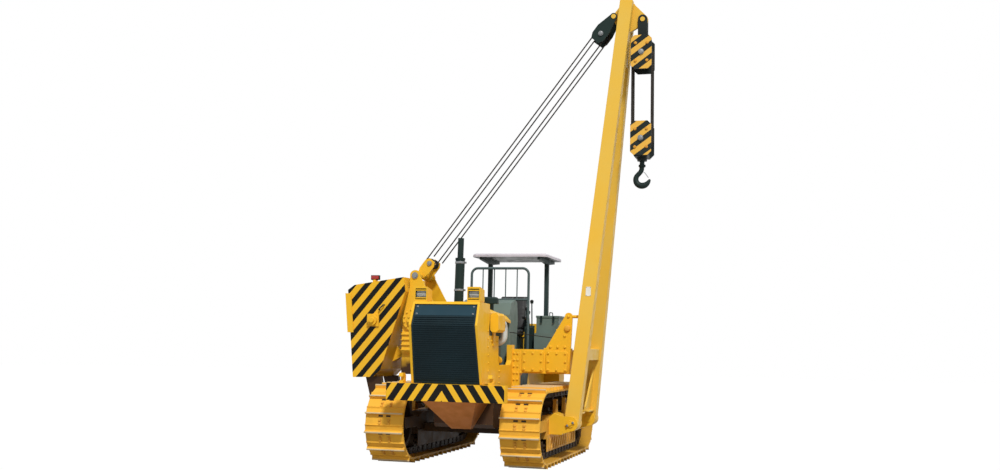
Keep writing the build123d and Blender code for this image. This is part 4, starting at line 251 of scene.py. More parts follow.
def enamel(name, paint, faded, soil="#9A713A", soil_top=900, soil_share=0.22, roughness=0.42, rim=7,
           worn="#F2CB66", metallic=0.0, gloss=0.16, over=()):
    """Sprayed machine enamel on plate: two tones in soft patches, dust that thickens towards the ground, a
    faint orange peel, and rims that are rounded, rubbed thin and paler: wear and a painted highlight on the
    edges."""
    made = bpy.data.materials.new(name)
    tree = new_tree(made)
    where = node(tree, "TexCoord").outputs["Object"]
    clouds = node(tree, "TexNoise", {"Vector": where, "Scale": 1 / 0.7, "Detail": 3.0, "Roughness": 0.55})
    patches = node(tree, "MapRange", {"Value": clouds, "From Min": 0.35, "From Max": 0.68})
    colour = node(tree, "Mix", {0: patches, 6: paint, 7: faded}, data_type="RGBA").outputs[2]
    for pattern, second in over:
        colour = node(tree, "Mix", {0: pattern(tree, where), 6: colour, 7: second},
                      data_type="RGBA").outputs[2]
    # rims, paler as wear and as a painted edge highlight: where the rounded normal leaves the flat one,
    # broken up by 30 mm scuffs
    rounded = node(tree, "Bevel", {"Radius": rim * MM}, samples=4)
    flat = node(tree, "NewGeometry").outputs["Normal"]
    turn = node(tree, "VectorMath", {0: rounded, 1: flat}, operation="DOT_PRODUCT").outputs["Value"]
    scuffs = node(tree, "TexNoise", {"Vector": where, "Scale": 1 / 0.03, "Detail": 4.0, "Roughness": 0.6})
    rubbed_and_highlit_rims = node(tree, "MapRange", {"Value": turn, "From Min": 0.985, "From Max": 0.90})
    spots = node(tree, "MapRange", {"Value": scuffs, "From Min": 0.48, "From Max": 0.62, "To Max": 0.55})
    rim_wear_and_highlight = node(tree, "Math", {0: rubbed_and_highlit_rims, 1: spots}, operation="MULTIPLY")
    colour = node(tree, "Mix", {0: rim_wear_and_highlight, 6: colour, 7: worn}, data_type="RGBA").outputs[2]
    # dust: 160 mm smears, most of it near the ground
    height = node(tree, "SeparateXYZ", {0: where}).outputs[2]
    low = node(tree, "MapRange", {"Value": height, "From Max": soil_top * MM, "To Min": 1.0, "To Max": 0.12})
    grime = node(tree, "TexNoise", {"Vector": where, "Scale": 1 / 0.16, "Detail": 6.0, "Roughness": 0.55})
    smears = node(tree, "MapRange", {"Value": grime, "From Min": 0.42, "From Max": 0.72})
    dusty = node(tree, "Math", {0: low, 1: smears}, operation="MULTIPLY")
    dust = node(tree, "Math", {0: dusty, 1: soil_share}, operation="MULTIPLY")
    colour = node(tree, "Mix", {0: dust, 6: colour, 7: soil}, data_type="RGBA").outputs[2]
    peel = node(tree, "TexNoise", {"Vector": where, "Scale": 1 / 0.014, "Detail": 2.0})
    bump = node(tree, "Bump", {"Strength": 0.05, "Distance": 0.004, "Height": peel, "Normal": rounded})
    rough = node(tree, "MapRange", {"Value": smears, "To Min": roughness - 0.05, "To Max": roughness + 0.18})
    shader = node(tree, "BsdfPrincipled", {"Base Color": colour, "Roughness": rough, "Metallic": metallic,
                                           "IOR": 1.5, "Specular IOR Level": gloss, "Normal": bump})
    node(tree, "OutputMaterial", {"Surface": shader})
    return made


def seat_vinyl():
    """Calendered black vinyl: 3 mm leather grain pressed into it, greyer where it has been sat on."""
    made = bpy.data.materials.new("grained_black_vinyl")
    tree = new_tree(made)
    where = node(tree, "TexCoord").outputs["Object"]
    grain = node(tree, "TexVoronoi", {"Vector": where, "Scale": 1 / 0.003}, feature="DISTANCE_TO_EDGE")
    worn = node(tree, "TexNoise", {"Vector": where, "Scale": 1 / 0.25, "Detail": 3.0})
    share = node(tree, "MapRange", {"Value": worn, "From Min": 0.4, "From Max": 0.7})
    colour = node(tree, "Mix", {0: share, 6: "#191A1B", 7: "#2B2C2D"}, data_type="RGBA")
    bump = node(tree, "Bump", {"Strength": 0.25, "Distance": 0.0006, "Height": grain})
    shader = node(tree, "BsdfPrincipled", {"Base Color": colour.outputs[2], "Roughness": 0.52, "IOR": 1.52,
                                           "Normal": bump})
    node(tree, "OutputMaterial", {"Surface": shader})
    return made


def lamp_glass(name, clear, shade):
    """Pressed lamp glass: upright flutes 9 mm wide, with the light and shade they break into lines painted
    into its colour.
    """
    made = bpy.data.materials.new(name)
    tree = new_tree(made)
    where = node(tree, "TexCoord").outputs["Object"]
    flutes = node(tree, "TexWave", {"Vector": where, "Scale": 0.314 / 0.009}, bands_direction="X")
    colour = node(tree, "Mix", {0: flutes, 6: clear, 7: shade}, data_type="RGBA")
    bump = node(tree, "Bump", {"Strength": 0.6, "Distance": 0.003, "Height": flutes})
    shader = node(tree, "BsdfPrincipled", {"Base Color": colour.outputs[2], "Roughness": 0.08, "IOR": 1.5,
                                           "Normal": bump})
    node(tree, "OutputMaterial", {"Surface": shader})
    return made


WARNING_BLACK = "#060A0A"

FINISHES = {
    # Factory yellow enamel on welded plate: warm, half gloss, slightly paler where the sun has had it.
    "yellow": enamel("yellow_enamel_on_plate", "#EEB626", "#EAB733"),
    # The hull's plates: the same yellow, with dust, and dark brown painted shade from the belly up to 1010
    # mm.
    "hull": enamel("yellow_enamel_with_painted_shade_below", "#EEB626", "#EAB733", soil_share=0.3,
                   over=[(below(1010, 90), "#4A3220")]),
    # The winch side's low plates and the weight's arms: the same yellow, with brown black painted shade up to
    # 1560 mm.
    "yellow_low_painted_shade": enamel("yellow_enamel_low_painted_shade", "#EEB626", "#EAB733", soil_share=0.3,
                    over=[(below(1560, 220), "#3A2718")]),
    # The boom's long box sections, the same enamel sun bleached.
    "boom": enamel("sun_bleached_boom_enamel", "#E6B640", "#E2B94E", soil_share=0.15),
    # Undercarriage castings: dusty yellow outside, dark brown painted shade where they stand in the hull's
    # shade.
    "undercarriage": enamel("dusty_yellow_castings_painted_shade", "#DDA53A", "#D2993A", "#7A5B36", 1100, 0.6, 0.6,
                            over=[(within_hull(1090), "#37271B")]),
    # Wheels inside the track loops: black brown, partly grease and packed soil, partly painted shade of the
    # inside of the loops.
    "grease_and_painted_shade": enamel("greased_roller_castings_painted_shade", "#46372A", "#382C22", "#5E482F", 1200, 0.45, 0.6,
                     worn="#5A4A3C"),
    # Rolled shoes: paint over steel; pale along the grousers, rubbed bare and with a painted highlight; dark
    # brown on the link side, grease and painted shade.
    "shoe": enamel("rolled_shoe_enamel", "#EBB23C", "#E3AA38", "#94693A", 1000, 0.4, 0.55, rim=5,
                   over=[(round_loop(60, True), "#35281E"), (round_loop(142, False), "#C9B894")]),
    # Shoe bolts: the shoes' paint, dirtier, pale on the heads' rims, as wear and as a painted highlight.
    "shoe_bolt": enamel("bolt_head_enamel_worn_and_highlit", "#E0A43A", "#D0943A", "#8A5C2C", 1200, 0.4, 0.55, rim=2,
                        worn="#E8D2A0"),
    # Forged links and pins: brown black, paler on rims as wear where the pins turn and as painted highlight;
    # on the shoes' slots this dark is painted shade.
    "link": enamel("greased_forged_links", "#3A2E24", "#2E251D", "#5C4630", 1300, 0.45, 0.55, rim=3,
                   worn="#6B5A48"),
    # Belly plates: painted shade, the yellow turned orange brown, with splashed brown soil.
    "belly": enamel("soiled_belly_painted_shade", "#D58746", "#C47A3E", "#8E5A32", 1600, 0.45, 0.6),
    # Bumper: factory yellow with black chevrons, clean edged.
    "bumper": enamel("chevron_banded_enamel", "#EEB626", "#EAB733", soil_share=0.15,
                     over=[(bands(BUMPER_FACE, 177, 56, 0.55, 0.342, fold=True), WARNING_BLACK)]),
    # Counterweight: the same paint with black bands rising to the hull.
    "weight": enamel("diagonal_banded_enamel", "#EEB626", "#EAB733", soil_share=0.15,
                     over=[(bands(WEIGHT_FACE, 186, 50, 0.47), WARNING_BLACK)]),
    # Hoist and hook blocks: black green castings with yellow bands on their front plates.
    "block": enamel("banded_block_enamel", "#1B2221", "#232B2A", "#222222", 500, 0.1, 0.5, worn="#56605E",
                    over=[(bands(BLOCK_FACE, 173, 36, 0.5), "#E8B44C")]),
    # The plate over the grille, in a bluer shade of the radiator paint.
    "head_plate": enamel("blue_green_head_plate_enamel", "#1C3540", "#213E4A", "#34444A", 3000, 0.2, 0.45,
                         rim=2, worn="#4F7480"),
    # Grille steel under blue black radiator paint, matt with dust in the slots.
    "grille": enamel("blue_black_radiator_enamel", "#142429", "#182C33", "#2C3A3C", 3000, 0.25, 0.5, rim=3,
                     worn="#3E5A62"),
    # Black green chassis paint on blocks, levers and stack.
    "black": enamel("black_green_chassis_enamel", "#182624", "#1F2F2C", "#35352F", 800, 0.15, 0.5, rim=4,
                    worn="#4A5452"),
    # Canopy posts and deck: dark grey green, dulled by boots and weather.
    "post": enamel("grey_green_post_enamel", "#2C3A39", "#344443", "#4A4D48", 800, 0.15, 0.5, rim=4,
                   worn="#62706E"),
    # Dash, locker and oil tank: flat grey green sheet.
    "console": enamel("slate_grey_console_enamel", "#6A7A73", "#606F69", "#4A5150", 2600, 0.3, 0.5, rim=5,
                      worn="#98A4A6"),
    # Bent rail tube: mid grey, paler on its rims, as wear where hands hold it and as a painted highlight.
    "rail": enamel("dark_grey_tube_enamel", "#4A5959", "#556464", "#3A4444", 2000, 0.2, 0.45, rim=2,
                   worn="#8A9696"),
    # Galvanised sheet pipe: pale grey, cloudy.
    "pipe": enamel("galvanised_pipe_sheet", "#C9CBC6", "#B4B8B5", "#7A7468", 2400, 0.3, 0.4, rim=3,
                   worn="#DADCD8", metallic=0.3),
    # Roof sheet: pale lilac grey on top and on its folded edges, the rims paler as wear and painted
    # highlight; painted shade, dark grey green, underneath.
    "roof": enamel("lilac_grey_roof_enamel", "#D6D0D8", "#CBC5CC", "#948F8C", 4200, 0.25, 0.4, rim=6,
                   worn="#EFEDF4", over=[(underneath, "#2A3736")]),
    # Engine castings: olive grey under oil and soot.
    "engine": enamel("engine_grey_enamel", "#6E6B58", "#5C5A4B", "#2E2720", 2000, 0.6, 0.5, worn="#8F8C7C"),
    # Oiled steel of sheaves and drums.
    "sheave": enamel("oiled_dark_steel", "#3B3F40", "#2E3132", "#1C1A18", 8000, 0.4, 0.38, rim=3,
                     worn="#8A8E90", metallic=0.7),
    # Wire rope: near black with grease, grey on the crowns of its strands, as wear and as a painted sheen.
    "rope": enamel("greased_wire_rope", "#34302B", "#282522", "#15120F", 8000, 0.5, 0.5, rim=1,
                   worn="#55514A", metallic=0.2),
    # Zinc plated bolts and steel tube: dull silver going brown.
    "zinc": enamel("zinc_plated_steel", "#8F9294", "#7C7F80", "#5A4A38", 2500, 0.4, 0.4, rim=1,
                   worn="#B5B8BA", metallic=0.8),
    # Hard chrome on the ram's rod and the dials' bezels: a clear mirror.
    "chrome": enamel("chromed_rod_steel", "#C9CDD0", "#BFC4C8", "#9AA0A4", 3000, 0.1, 0.16, rim=1,
                     worn="#DDE0E2", metallic=1.0),
    # Fired white enamel on thin plate.
    "plate": enamel("white_enamel_plate", "#E6E4DA", "#DAD8CE", "#9C958A", 4000, 0.2, 0.35, rim=1,
                    worn="#F2F1EA"),
    # Dial cards: matt black, no shine under their needles.
    "dial": enamel("matt_dial_card", "#0C0D0D", "#121313", "#1C1C1B", 3000, 0.05, 0.7, rim=1, worn="#2A2B2B"),
    # Pedal rubbers and lever knobs: soft black.
    "rubber": enamel("moulded_black_rubber", "#141414", "#1B1B1B", "#3A3732", 2500, 0.2, 0.75, rim=2,
                     worn="#2C2C2C"),
    # Work lamps' clear glass, the marker lamp's red glass, and the seat's cover.
    "lens": lamp_glass("fluted_lamp_glass", "#E9E7DE", "#B9B7AE"),
    "red_lens": lamp_glass("red_lamp_glass", "#C2281E", "#7E130E"),
    "vinyl": seat_vinyl(),
}

NODE_FINISH = {
    "yellow": "radiator_guard engine_hood lamp_boxes boom_beam boom_stop boom_feet gantry_link "
              "winch_covers ram_barrel fuel_tank drawbar air_cleaner",
    "yellow_low_painted_shade": "gantry_frame weight_feet counterweight_arms",
    "hull": "main_frame",
    "boom": "boom_legs boom_braces boom_head",
    "undercarriage": "track_frames final_drives hard_bars",
    "grease_and_painted_shade": "idlers sprockets track_rollers",
    "shoe": "track_left track_right",
    "belly": "sump_guard",
    "bumper": "front_bumper",
    "weight": "counterweight",
    "block": "hoist_block hook_block",
    "grille": "radiator_grille",
    "black": "exhaust_stack luffing_block load_hook control_levers air_precleaner",
    "post": "canopy_posts operator_deck",
    "console": "dash_cowl battery_box oil_tank",
    "pipe": "air_pipe",
    "rail": "guard_rail",
    "roof": "canopy_roof",
    "engine": "engine_block",
    "sheave": "gantry_sheaves hoist_block_sheaves hook_block_sheaves luffing_block_sheaves winch_drums",
    "rope": "gantry_falls luffing_block_falls hoist_ropes",
    "chrome": "ram_rod",
    "lens": "lamp_lenses",
    "vinyl": "operator_seat",
}


def paint_nodes():
    """Every solid's mesh in its finish."""
    for finish, names in NODE_FINISH.items():
        for name in names.split():
            mesh = nodes[name].data
            mesh.materials.clear()
            mesh.materials.append(FINISHES[finish])


paint_nodes()


# Bench work: the steps that every piece is made with


def bench(piece):
    """The piece alone on the bench: object mode, selected and active."""
    if bpy.context.mode != "OBJECT":
        bpy.ops.object.mode_set(mode="OBJECT")
    bpy.ops.object.select_all(action="DESELECT")
    piece.select_set(True)
    bpy.context.view_layer.objects.active = piece
    return piece


def fresh(kind, **how):
    """A primitive at its size and place, with that place in its mesh."""
    bpy.ops.object.select_all(action="DESELECT")
    getattr(bpy.ops.mesh, f"primitive_{kind}_add")(**how)
    bpy.ops.object.transform_apply(location=True, rotation=True, scale=True)
    return bpy.context.object


def blank(low, high):
    """A squared block between two corners in tractor millimetres."""
    low, high = at(*low), at(*high)
    return fresh("cube", size=1, location=(low + high) / 2, scale=high - low)


def looking(*ways):
    """The test for faces that look one of these ways."""
    return lambda out: any(out.dot(way) > 0.9 for way in ways)


def pick(piece, wanted):
    """Edit mode, with the faces selected whose normal is wanted."""
    bench(piece)
    bpy.ops.object.mode_set(mode="EDIT")
    bpy.ops.mesh.select_mode(type="FACE")
    bpy.ops.mesh.select_all(action="DESELECT")
    shape = bmesh.from_edit_mesh(piece.data)
    for face in shape.faces:
        face.select_set(bool(wanted(face.normal)))
    bmesh.update_edit_mesh(piece.data)


def pull(piece, wanted, way):
    """The wanted faces extruded by a move in millimetres."""
    pick(piece, wanted)
    bpy.ops.mesh.extrude_region_move(TRANSFORM_OT_translate={"value": Vector(way) * MM})
    return bench(piece)


def inset(piece, wanted, margin, depth=0.0):
    """The wanted faces inset by a margin, and raised or sunk by a depth."""
    pick(piece, wanted)
    bpy.ops.mesh.inset(thickness=margin * MM, depth=depth * MM)
    return bench(piece)


def applied(piece, kind, **settings):
    """A modifier added, set and applied."""
    bench(piece)
    step = piece.modifiers.new(kind.lower(), kind)
    for key, value in settings.items():
        setattr(step, key, value)
    bpy.ops.object.modifier_apply(modifier=step.name)
    return piece


def closed(piece):
    """Doubles merged, open ends filled and all faces turned outwards."""
    bench(piece)
    bpy.ops.object.mode_set(mode="EDIT")
    bpy.ops.mesh.select_all(action="SELECT")
    bpy.ops.mesh.remove_doubles(threshold=0.00001)
    bpy.ops.mesh.fill_holes(sides=0)
    bpy.ops.mesh.normals_make_consistent(inside=False)
    return bench(piece)


def joined(*pieces):
    """Several pieces as one."""
    bench(pieces[0])
    for piece in pieces:
        piece.select_set(True)
    if len(pieces) > 1:
        bpy.ops.object.join()
    return pieces[0]


def spread(pattern, places):
    """A copy of the pattern at every place, all joined; the pattern itself goes."""
    copies = []
    for place in places:
        copy = pattern.copy()
        copy.data = pattern.data.copy()
        copy.data.transform(place)
        bpy.context.scene.collection.objects.link(copy)
        copies.append(copy)
    bpy.data.objects.remove(pattern)
    return joined(*copies)


def standing(point, out, turn=0.0):
    """The place of a pattern that stands at a point and looks out along a direction."""
    tilt = Vector(out).to_track_quat("Z", "Y").to_matrix().to_4x4()
    return Matrix.Translation(point) @ tilt @ Matrix.Rotation(turn, 4, "Z")


def on_surface(name, start, way):
    """The same, where a line from a point in tractor millimetres first meets a solid."""
    hit, point, out, _ = nodes[name].ray_cast(at(*start), Vector(way).normalized())
    if not hit:
        raise ValueError(f"nothing of {name} from {start} along {way}")
    return standing(point, out)


def fitted(piece, name, body, finish, rim=0.0, smooth=35):
    """Edges broken, shaded, named, painted and set to ride on its body, if it has a single one."""
    bench(piece)
    if rim:
        applied(piece, "BEVEL", width=rim * MM, segments=2, limit_method="ANGLE",
                angle_limit=math.radians(40))
    bpy.ops.object.shade_smooth_by_angle(angle=math.radians(smooth))
    piece.name = piece.data.name = name
    piece.data.materials.clear()
    piece.data.materials.append(FINISHES[finish])
    if body:
        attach(piece, body)
    return piece


def hex_bolt(across, high):
    """Hexagon head, chamfered, on a round washer; it stands on z = 0."""
    washer = fresh("cylinder", vertices=12, radius=0.75 * across * MM, depth=0.25 * high * MM,
                   location=(0, 0, 0.125 * high * MM))
    head = fresh("cylinder", vertices=6, radius=0.577 * across * MM, depth=0.75 * high * MM,
                 location=(0, 0, 0.55 * high * MM))
    inset(head, looking(UP), 0.1 * across, 0.12 * high)
    return joined(washer, head)


def bolted(name, body, finish, size, places):
    """Hexagon bolts of one size, across and high, at every place."""
    fitted(spread(hex_bolt(*size), places), name, body, finish, smooth=30)


def swept(points, order=3, facets=3):
    """A round bar along a smooth line; each point is a place in the frame and the bar's radius there."""
    line = bpy.data.curves.new("bar_line", "CURVE")
    line.dimensions = "3D"
    line.bevel_depth = 1.0
    line.bevel_resolution = facets
    line.use_fill_caps = True
    run = line.splines.new("NURBS")
    run.points.add(len(points) - 1)
    for point, (place, radius) in zip(run.points, points):
        point.co = (*place, 1.0)
        point.radius = radius * MM
    run.order_u = order
    run.use_endpoint_u = True
    bar = bpy.data.objects.new("bar_line", line)
    bpy.context.scene.collection.objects.link(bar)
    bench(bar)
    bpy.ops.object.convert(target="MESH")
    return closed(bpy.context.object)


def tube(route, radius):
    """A rigid pipe of one radius through a route in tractor millimetres."""
    return swept([(at(*place), radius) for place in route])


def ring_of(count, centre, radius, axis):
    """Places round a centre in tractor millimetres, looking along an axis of x or y."""
    places = []
    for step in range(count):
        turn = 2 * math.pi * (step + 0.5) / count
        off = (radius * math.cos(turn), radius * math.sin(turn))
        move = (off[0], 0, off[1]) if axis[1] else (0, off[0], off[1])
        places.append(standing(at(*centre) + Vector(move) * MM, axis))
    return places


# Crawler tracks


def on_loop(side, shoe, x, along, high):
    """Place on a shoe: x off the track's middle, along it, and high above the pitch line."""
    run, bend = 2 * WHEEL_Y, math.pi * PITCH_RADIUS
    travel = (shoe + 0.5) * LINK_PITCH
    if travel < run:
        base, turn = Vector((travel - WHEEL_Y, WHEEL_Z - PITCH_RADIUS)), -math.pi / 2
    elif travel < run + bend:
        turn = -math.pi / 2 + (travel - run) / PITCH_RADIUS
        base = Vector((WHEEL_Y, WHEEL_Z)) + PITCH_RADIUS * Vector((math.cos(turn), math.sin(turn)))
    elif travel < 2 * run + bend:
        base, turn = Vector((WHEEL_Y - travel + run + bend, WHEEL_Z + PITCH_RADIUS)), math.pi / 2
    else:
        turn = math.pi / 2 + (travel - 2 * run - bend) / PITCH_RADIUS
        base = Vector((-WHEEL_Y, WHEEL_Z)) + PITCH_RADIUS * Vector((math.cos(turn), math.sin(turn)))
    out, ahead = Vector((math.cos(turn), math.sin(turn))), Vector((-math.sin(turn), math.cos(turn)))
    spot = base + out * high + ahead * along
    place = Matrix(((1, 0, 0, 0), (0, -ahead.x, out.x, 0), (0, -ahead.y, out.y, 0), (0, 0, 0, 1)))
    return Matrix.Translation(at(side * TRACK_X + x, spot.x, spot.y)) @ place


def track_fittings():
    """Bolts and slots on every shoe, the slots dark as painted shade, the forged links with their pins, and
    the sprocket rims' bolts.
    """
    shoes = range(SHOE_COUNT)
    for side, name in ((1, "left"), (-1, "right")):
        spots = [on_loop(side, shoe, x, along, SHOE_FACE)
                 for shoe in shoes for x in (-72, 72) for along in (16, 68)]
        bolted(f"shoe_bolts_{name}", "tractor", "shoe_bolt", (34, 20), spots)

        # the slots: shallow recesses in the links' dark finish, painted shade for open notches
        slot = fresh("cube", size=1, scale=(0.070, 0.026, 0.006))
        inset(slot, looking(UP), 4, -2)
        slots = spread(slot, [on_loop(side, shoe, x, -48, SHOE_FACE) for shoe in shoes for x in (-62, 62)])
        fitted(slots, f"shoe_slots_painted_shade_{name}", "tractor", "link")

        # one link: a waisted plate, with the boss of its pin raised at the leading end
        link = fresh("cube", size=1, scale=(0.010, 0.120, 0.092), location=(0.004, 0, 0.009))
        pull(link, looking(REAR), (0, 42, 0))
        pull(link, looking(FRONT), (0, -42, 0))
        pick(link, looking(FRONT, REAR))
        bpy.ops.transform.resize(value=(1, 1, 0.62))
        bench(link)
        boss = fresh("cylinder", vertices=14, radius=0.034, depth=0.022, location=(0.009, 0.085, 0.002),
                     rotation=(0, math.pi / 2, 0))
        inset(boss, looking(LEFT), 9, -4)
        link = joined(link, boss)
        turned = Matrix.Rotation(math.pi, 4, "Z")
        places = []
        for shoe in shoes:
            places.append(on_loop(side, shoe, LINK_SIDE, 0, 0))
            places.append(on_loop(side, shoe, -LINK_SIDE, 0, 0) @ turned)
        links = spread(link, places)
        fitted(links, f"track_links_{name}", "tractor", "link", smooth=30)

        rim = ring_of(14, (side * HUB_X, WHEEL_Y, WHEEL_Z), 195, side * LEFT)
        bolted(f"sprocket_bolts_{name}", "tractor", "grease_and_painted_shade", (34, 18), rim)


# Ropes


def wire_rope(start, end, radius):
    """Six strands laid round each other: a six-lobed ring screwed along its axis, 170 mm to a turn."""
    rope = fresh("circle", vertices=12, radius=radius * MM)
    bpy.ops.object.mode_set(mode="EDIT")
    bpy.ops.mesh.select_mode(type="VERT")
    bpy.ops.mesh.select_all(action="DESELECT")
    ring = bmesh.from_edit_mesh(rope.data)
    for number, vertex in enumerate(ring.verts):
        vertex.select_set(number % 2 == 0)
    bmesh.update_edit_mesh(rope.data)
    bpy.ops.transform.resize(value=(0.78, 0.78, 1))
    bench(rope)
    length = (end - start).length
    turns = max(1, round(length / 0.170))
    applied(rope, "SCREW", axis="Z", angle=2 * math.pi, screw_offset=length / turns, iterations=turns,
            steps=10, render_steps=10, use_smooth_shade=True)
    closed(rope)
    rope.data.transform(standing(start, end - start))
    return rope


def rope_bight(centre, reach, radius, up):
    """Half a turn of rope over a sheave with its axle along y; up is the way its crown looks."""
    bight = fresh("circle", vertices=12, radius=radius * MM, location=(reach * MM, 0, 0))
    bench(bight)
    bpy.ops.object.mode_set(mode="EDIT")
    bpy.ops.mesh.select_all(action="SELECT")
    bpy.ops.mesh.spin(steps=18, angle=math.pi, center=(0, 0, 0), axis=(0, 1, 0))
    bench(bight)
    closed(bight)
    if sum(vertex.co.z for vertex in bight.data.vertices) < 0:
        bight.data.transform(Matrix.Rotation(math.pi, 4, "X"))
    lean = math.atan2(up.x, up.z)
    bight.data.transform(Matrix.Translation(centre) @ Matrix.Rotation(lean, 4, "Y"))
    return bight


def luffing_ropes():
    """Two falls from each end of the luffing tackle, each pair over its own block's sheave."""
    low, high = joint_at["gantry_link_swing"], joint_at["luffing_block_swing"]
    along = (high - low).normalized()
    across = Vector((along.z, 0, -along.x))
    far = (high - low).length - LUFF_DROP * MM
    near, short = LINK_LENGTH * MM, FALL_SHORT * MM
    table = (("luffing_block", FALL_Y, near + short, far, far, along),
             ("gantry_link", -FALL_Y, near, far - short, near, -along))
    for body, y, start, end, sheave, crown in table:
        base = low + Vector((0, y * MM, 0))
        falls = []
        for x in (-FALL_X, FALL_X):
            line = base + across * x * MM
            falls.append(wire_rope(line + along * start, line + along * end, ROPE_R))
        falls.append(rope_bight(base + along * sheave, FALL_X, ROPE_R, crown))
        rope = fitted(joined(*falls), f"{body}_rope", body, "rope", smooth=60)
        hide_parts("luffing_block_falls" if body == "luffing_block" else "gantry_falls")


def hoist_rope():
    """Six falls between the hoist block and the hook block, over the sheaves of both."""
    pin = joint_at["hoist_block_plumb"]
    top, foot = pin.z - HOIST_DROP * MM, pin.z - HOOK_DROP * MM
    pieces = []
    for y in HOIST_YS:
        middle = pin.y + y * MM
        for x in (pin.x - HOIST_REACH * MM, pin.x + HOIST_REACH * MM):
            pieces.append(wire_rope(Vector((x, middle, top)), Vector((x, middle, foot)), ROPE_R))
        pieces.append(rope_bight(Vector((pin.x, middle, top)), HOIST_REACH, ROPE_R, UP))
        pieces.append(rope_bight(Vector((pin.x, middle, foot)), HOIST_REACH, ROPE_R, DOWN))
    rope = fitted(joined(*pieces), "hoist_rope", None, "rope", smooth=60)
    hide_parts("hoist_ropes")
    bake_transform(rope)


def drum_ropes():
    """A layer of rope wound on each winch drum, turn against turn."""
    turns = int(2 * DRUM_HALF / (2 * ROPE_R))
    coils = []
    for x, z in DRUMS:
        coil = fresh("circle", vertices=8, radius=ROPE_R * MM, location=(DRUM_ROPE_R * MM, 0, 0))
        applied(coil, "SCREW", axis="Y", angle=2 * math.pi, screw_offset=2 * ROPE_R * MM, iterations=turns,
                steps=28, render_steps=28, use_smooth_shade=True)
        closed(coil)
        middle = sum((vertex.co.y for vertex in coil.data.vertices), 0.0) / len(coil.data.vertices)
        coil.data.transform(Matrix.Translation(at(x, 0, z) - Vector((0, middle, 0))))
        coils.append(coil)
    fitted(joined(*coils), "drum_rope_layers", "tractor", "rope", smooth=60)


def forged_hook():
    """Drop forged hook: round neck, thickest at the bottom of its bowl, drawn out to a blunt tip."""
    pin = joint_at["hoist_block_plumb"]
    bend = Vector((pin.x, pin.y, joint_at["hook_swivel"].z))
    neck = [(Vector((0, 0, 338)), 40), (Vector((0, 0, 194)), 40), (Vector((-12, 0, 140)), 40)]
    # columns: angle round the bowl in degrees, reach from its centre, thickness of the bar, in millimetres
    bowl = ((120, 112, 40), (150, 110, 42), (180, 108, 45), (215, 106, 49), (250, 105, 52), (285, 105, 52),
            (315, 108, 45), (340, 114, 34), (354, 122, 24), (362, 132, 15))
    for degrees, reach, thick in bowl:
        turn = math.radians(degrees)
        neck.append((Vector((reach * math.cos(turn), 0, reach * math.sin(turn))), thick))
    bar = swept([(bend + place * MM, thick) for place, thick in neck], order=4, facets=5)
    nut_z = pin.z - (HOOK_DROP + YOKE_DROP) * MM + 0.026
    nut = fresh("cylinder", vertices=6, radius=0.068, depth=0.050, location=(pin.x, pin.y, nut_z))
    inset(nut, looking(UP), 7, 4)
    collar = fresh("cylinder", vertices=24, radius=0.058, depth=0.030,
                   location=(pin.x, pin.y, bend.z + 0.232))
    inset(collar, looking(DOWN), 8, 8)
    hook = fitted(joined(bar, nut, collar), "forged_hook", "load_hook", "black", smooth=45)
    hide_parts("load_hook")
    # the spring latch that shuts the throat
    latch = fresh("cube", size=1, scale=(0.012, 0.034, 0.100))
    inset(latch, looking(LEFT), 6, -3)
    pull(latch, looking(UP), (-10, 0, 14))
    throat = Matrix.Translation(bend + Vector((0.075, 0, 0.075)))
    latch.data.transform(throat @ Matrix.Rotation(-0.62, 4, "Y"))
    fitted(latch, "hook_latch", "load_hook", "zinc", rim=2)


# Operator's seat


def stuffed(pad, cap):
    """The sewn cover blown out from within by its foam, no point by more than cap millimetres."""
    bench(pad)
    pad.data.remesh_voxel_size = 0.010
    bpy.ops.object.voxel_remesh()
    before = [vertex.co.copy() for vertex in pad.data.vertices]
    cloth = pad.modifiers.new("foam", "CLOTH")
    cloth.settings.use_pressure = True
    cloth.settings.uniform_pressure_force = 4.0
    cloth.settings.effector_weights.gravity = 0.0
    for number in range(1, 21):
        bpy.context.scene.frame_set(number)
    bpy.ops.object.modifier_apply(modifier=cloth.name)
    bpy.context.scene.frame_set(1)
    for vertex, home in zip(pad.data.vertices, before):
        step = vertex.co - home
        if step.length > cap * MM:
            vertex.co = home + step.normalized() * cap * MM
    return pad


def sewn(pad, lines, depth, half):
    """Channels sewn across the pad at x lines: the cover drawn in by depth, half wide to each side."""
    middle = sum((vertex.co for vertex in pad.data.vertices), Vector()) / len(pad.data.vertices)
    for vertex in pad.data.vertices:
        for line in lines:
            off = abs(vertex.co.x - ZERO.x - line * MM) / (half * MM)
            if off < 1:
                inward = (middle - vertex.co) * Vector((0, 1, 1))
                vertex.co += inward.normalized() * depth * MM * (1 - off * off)
    return pad


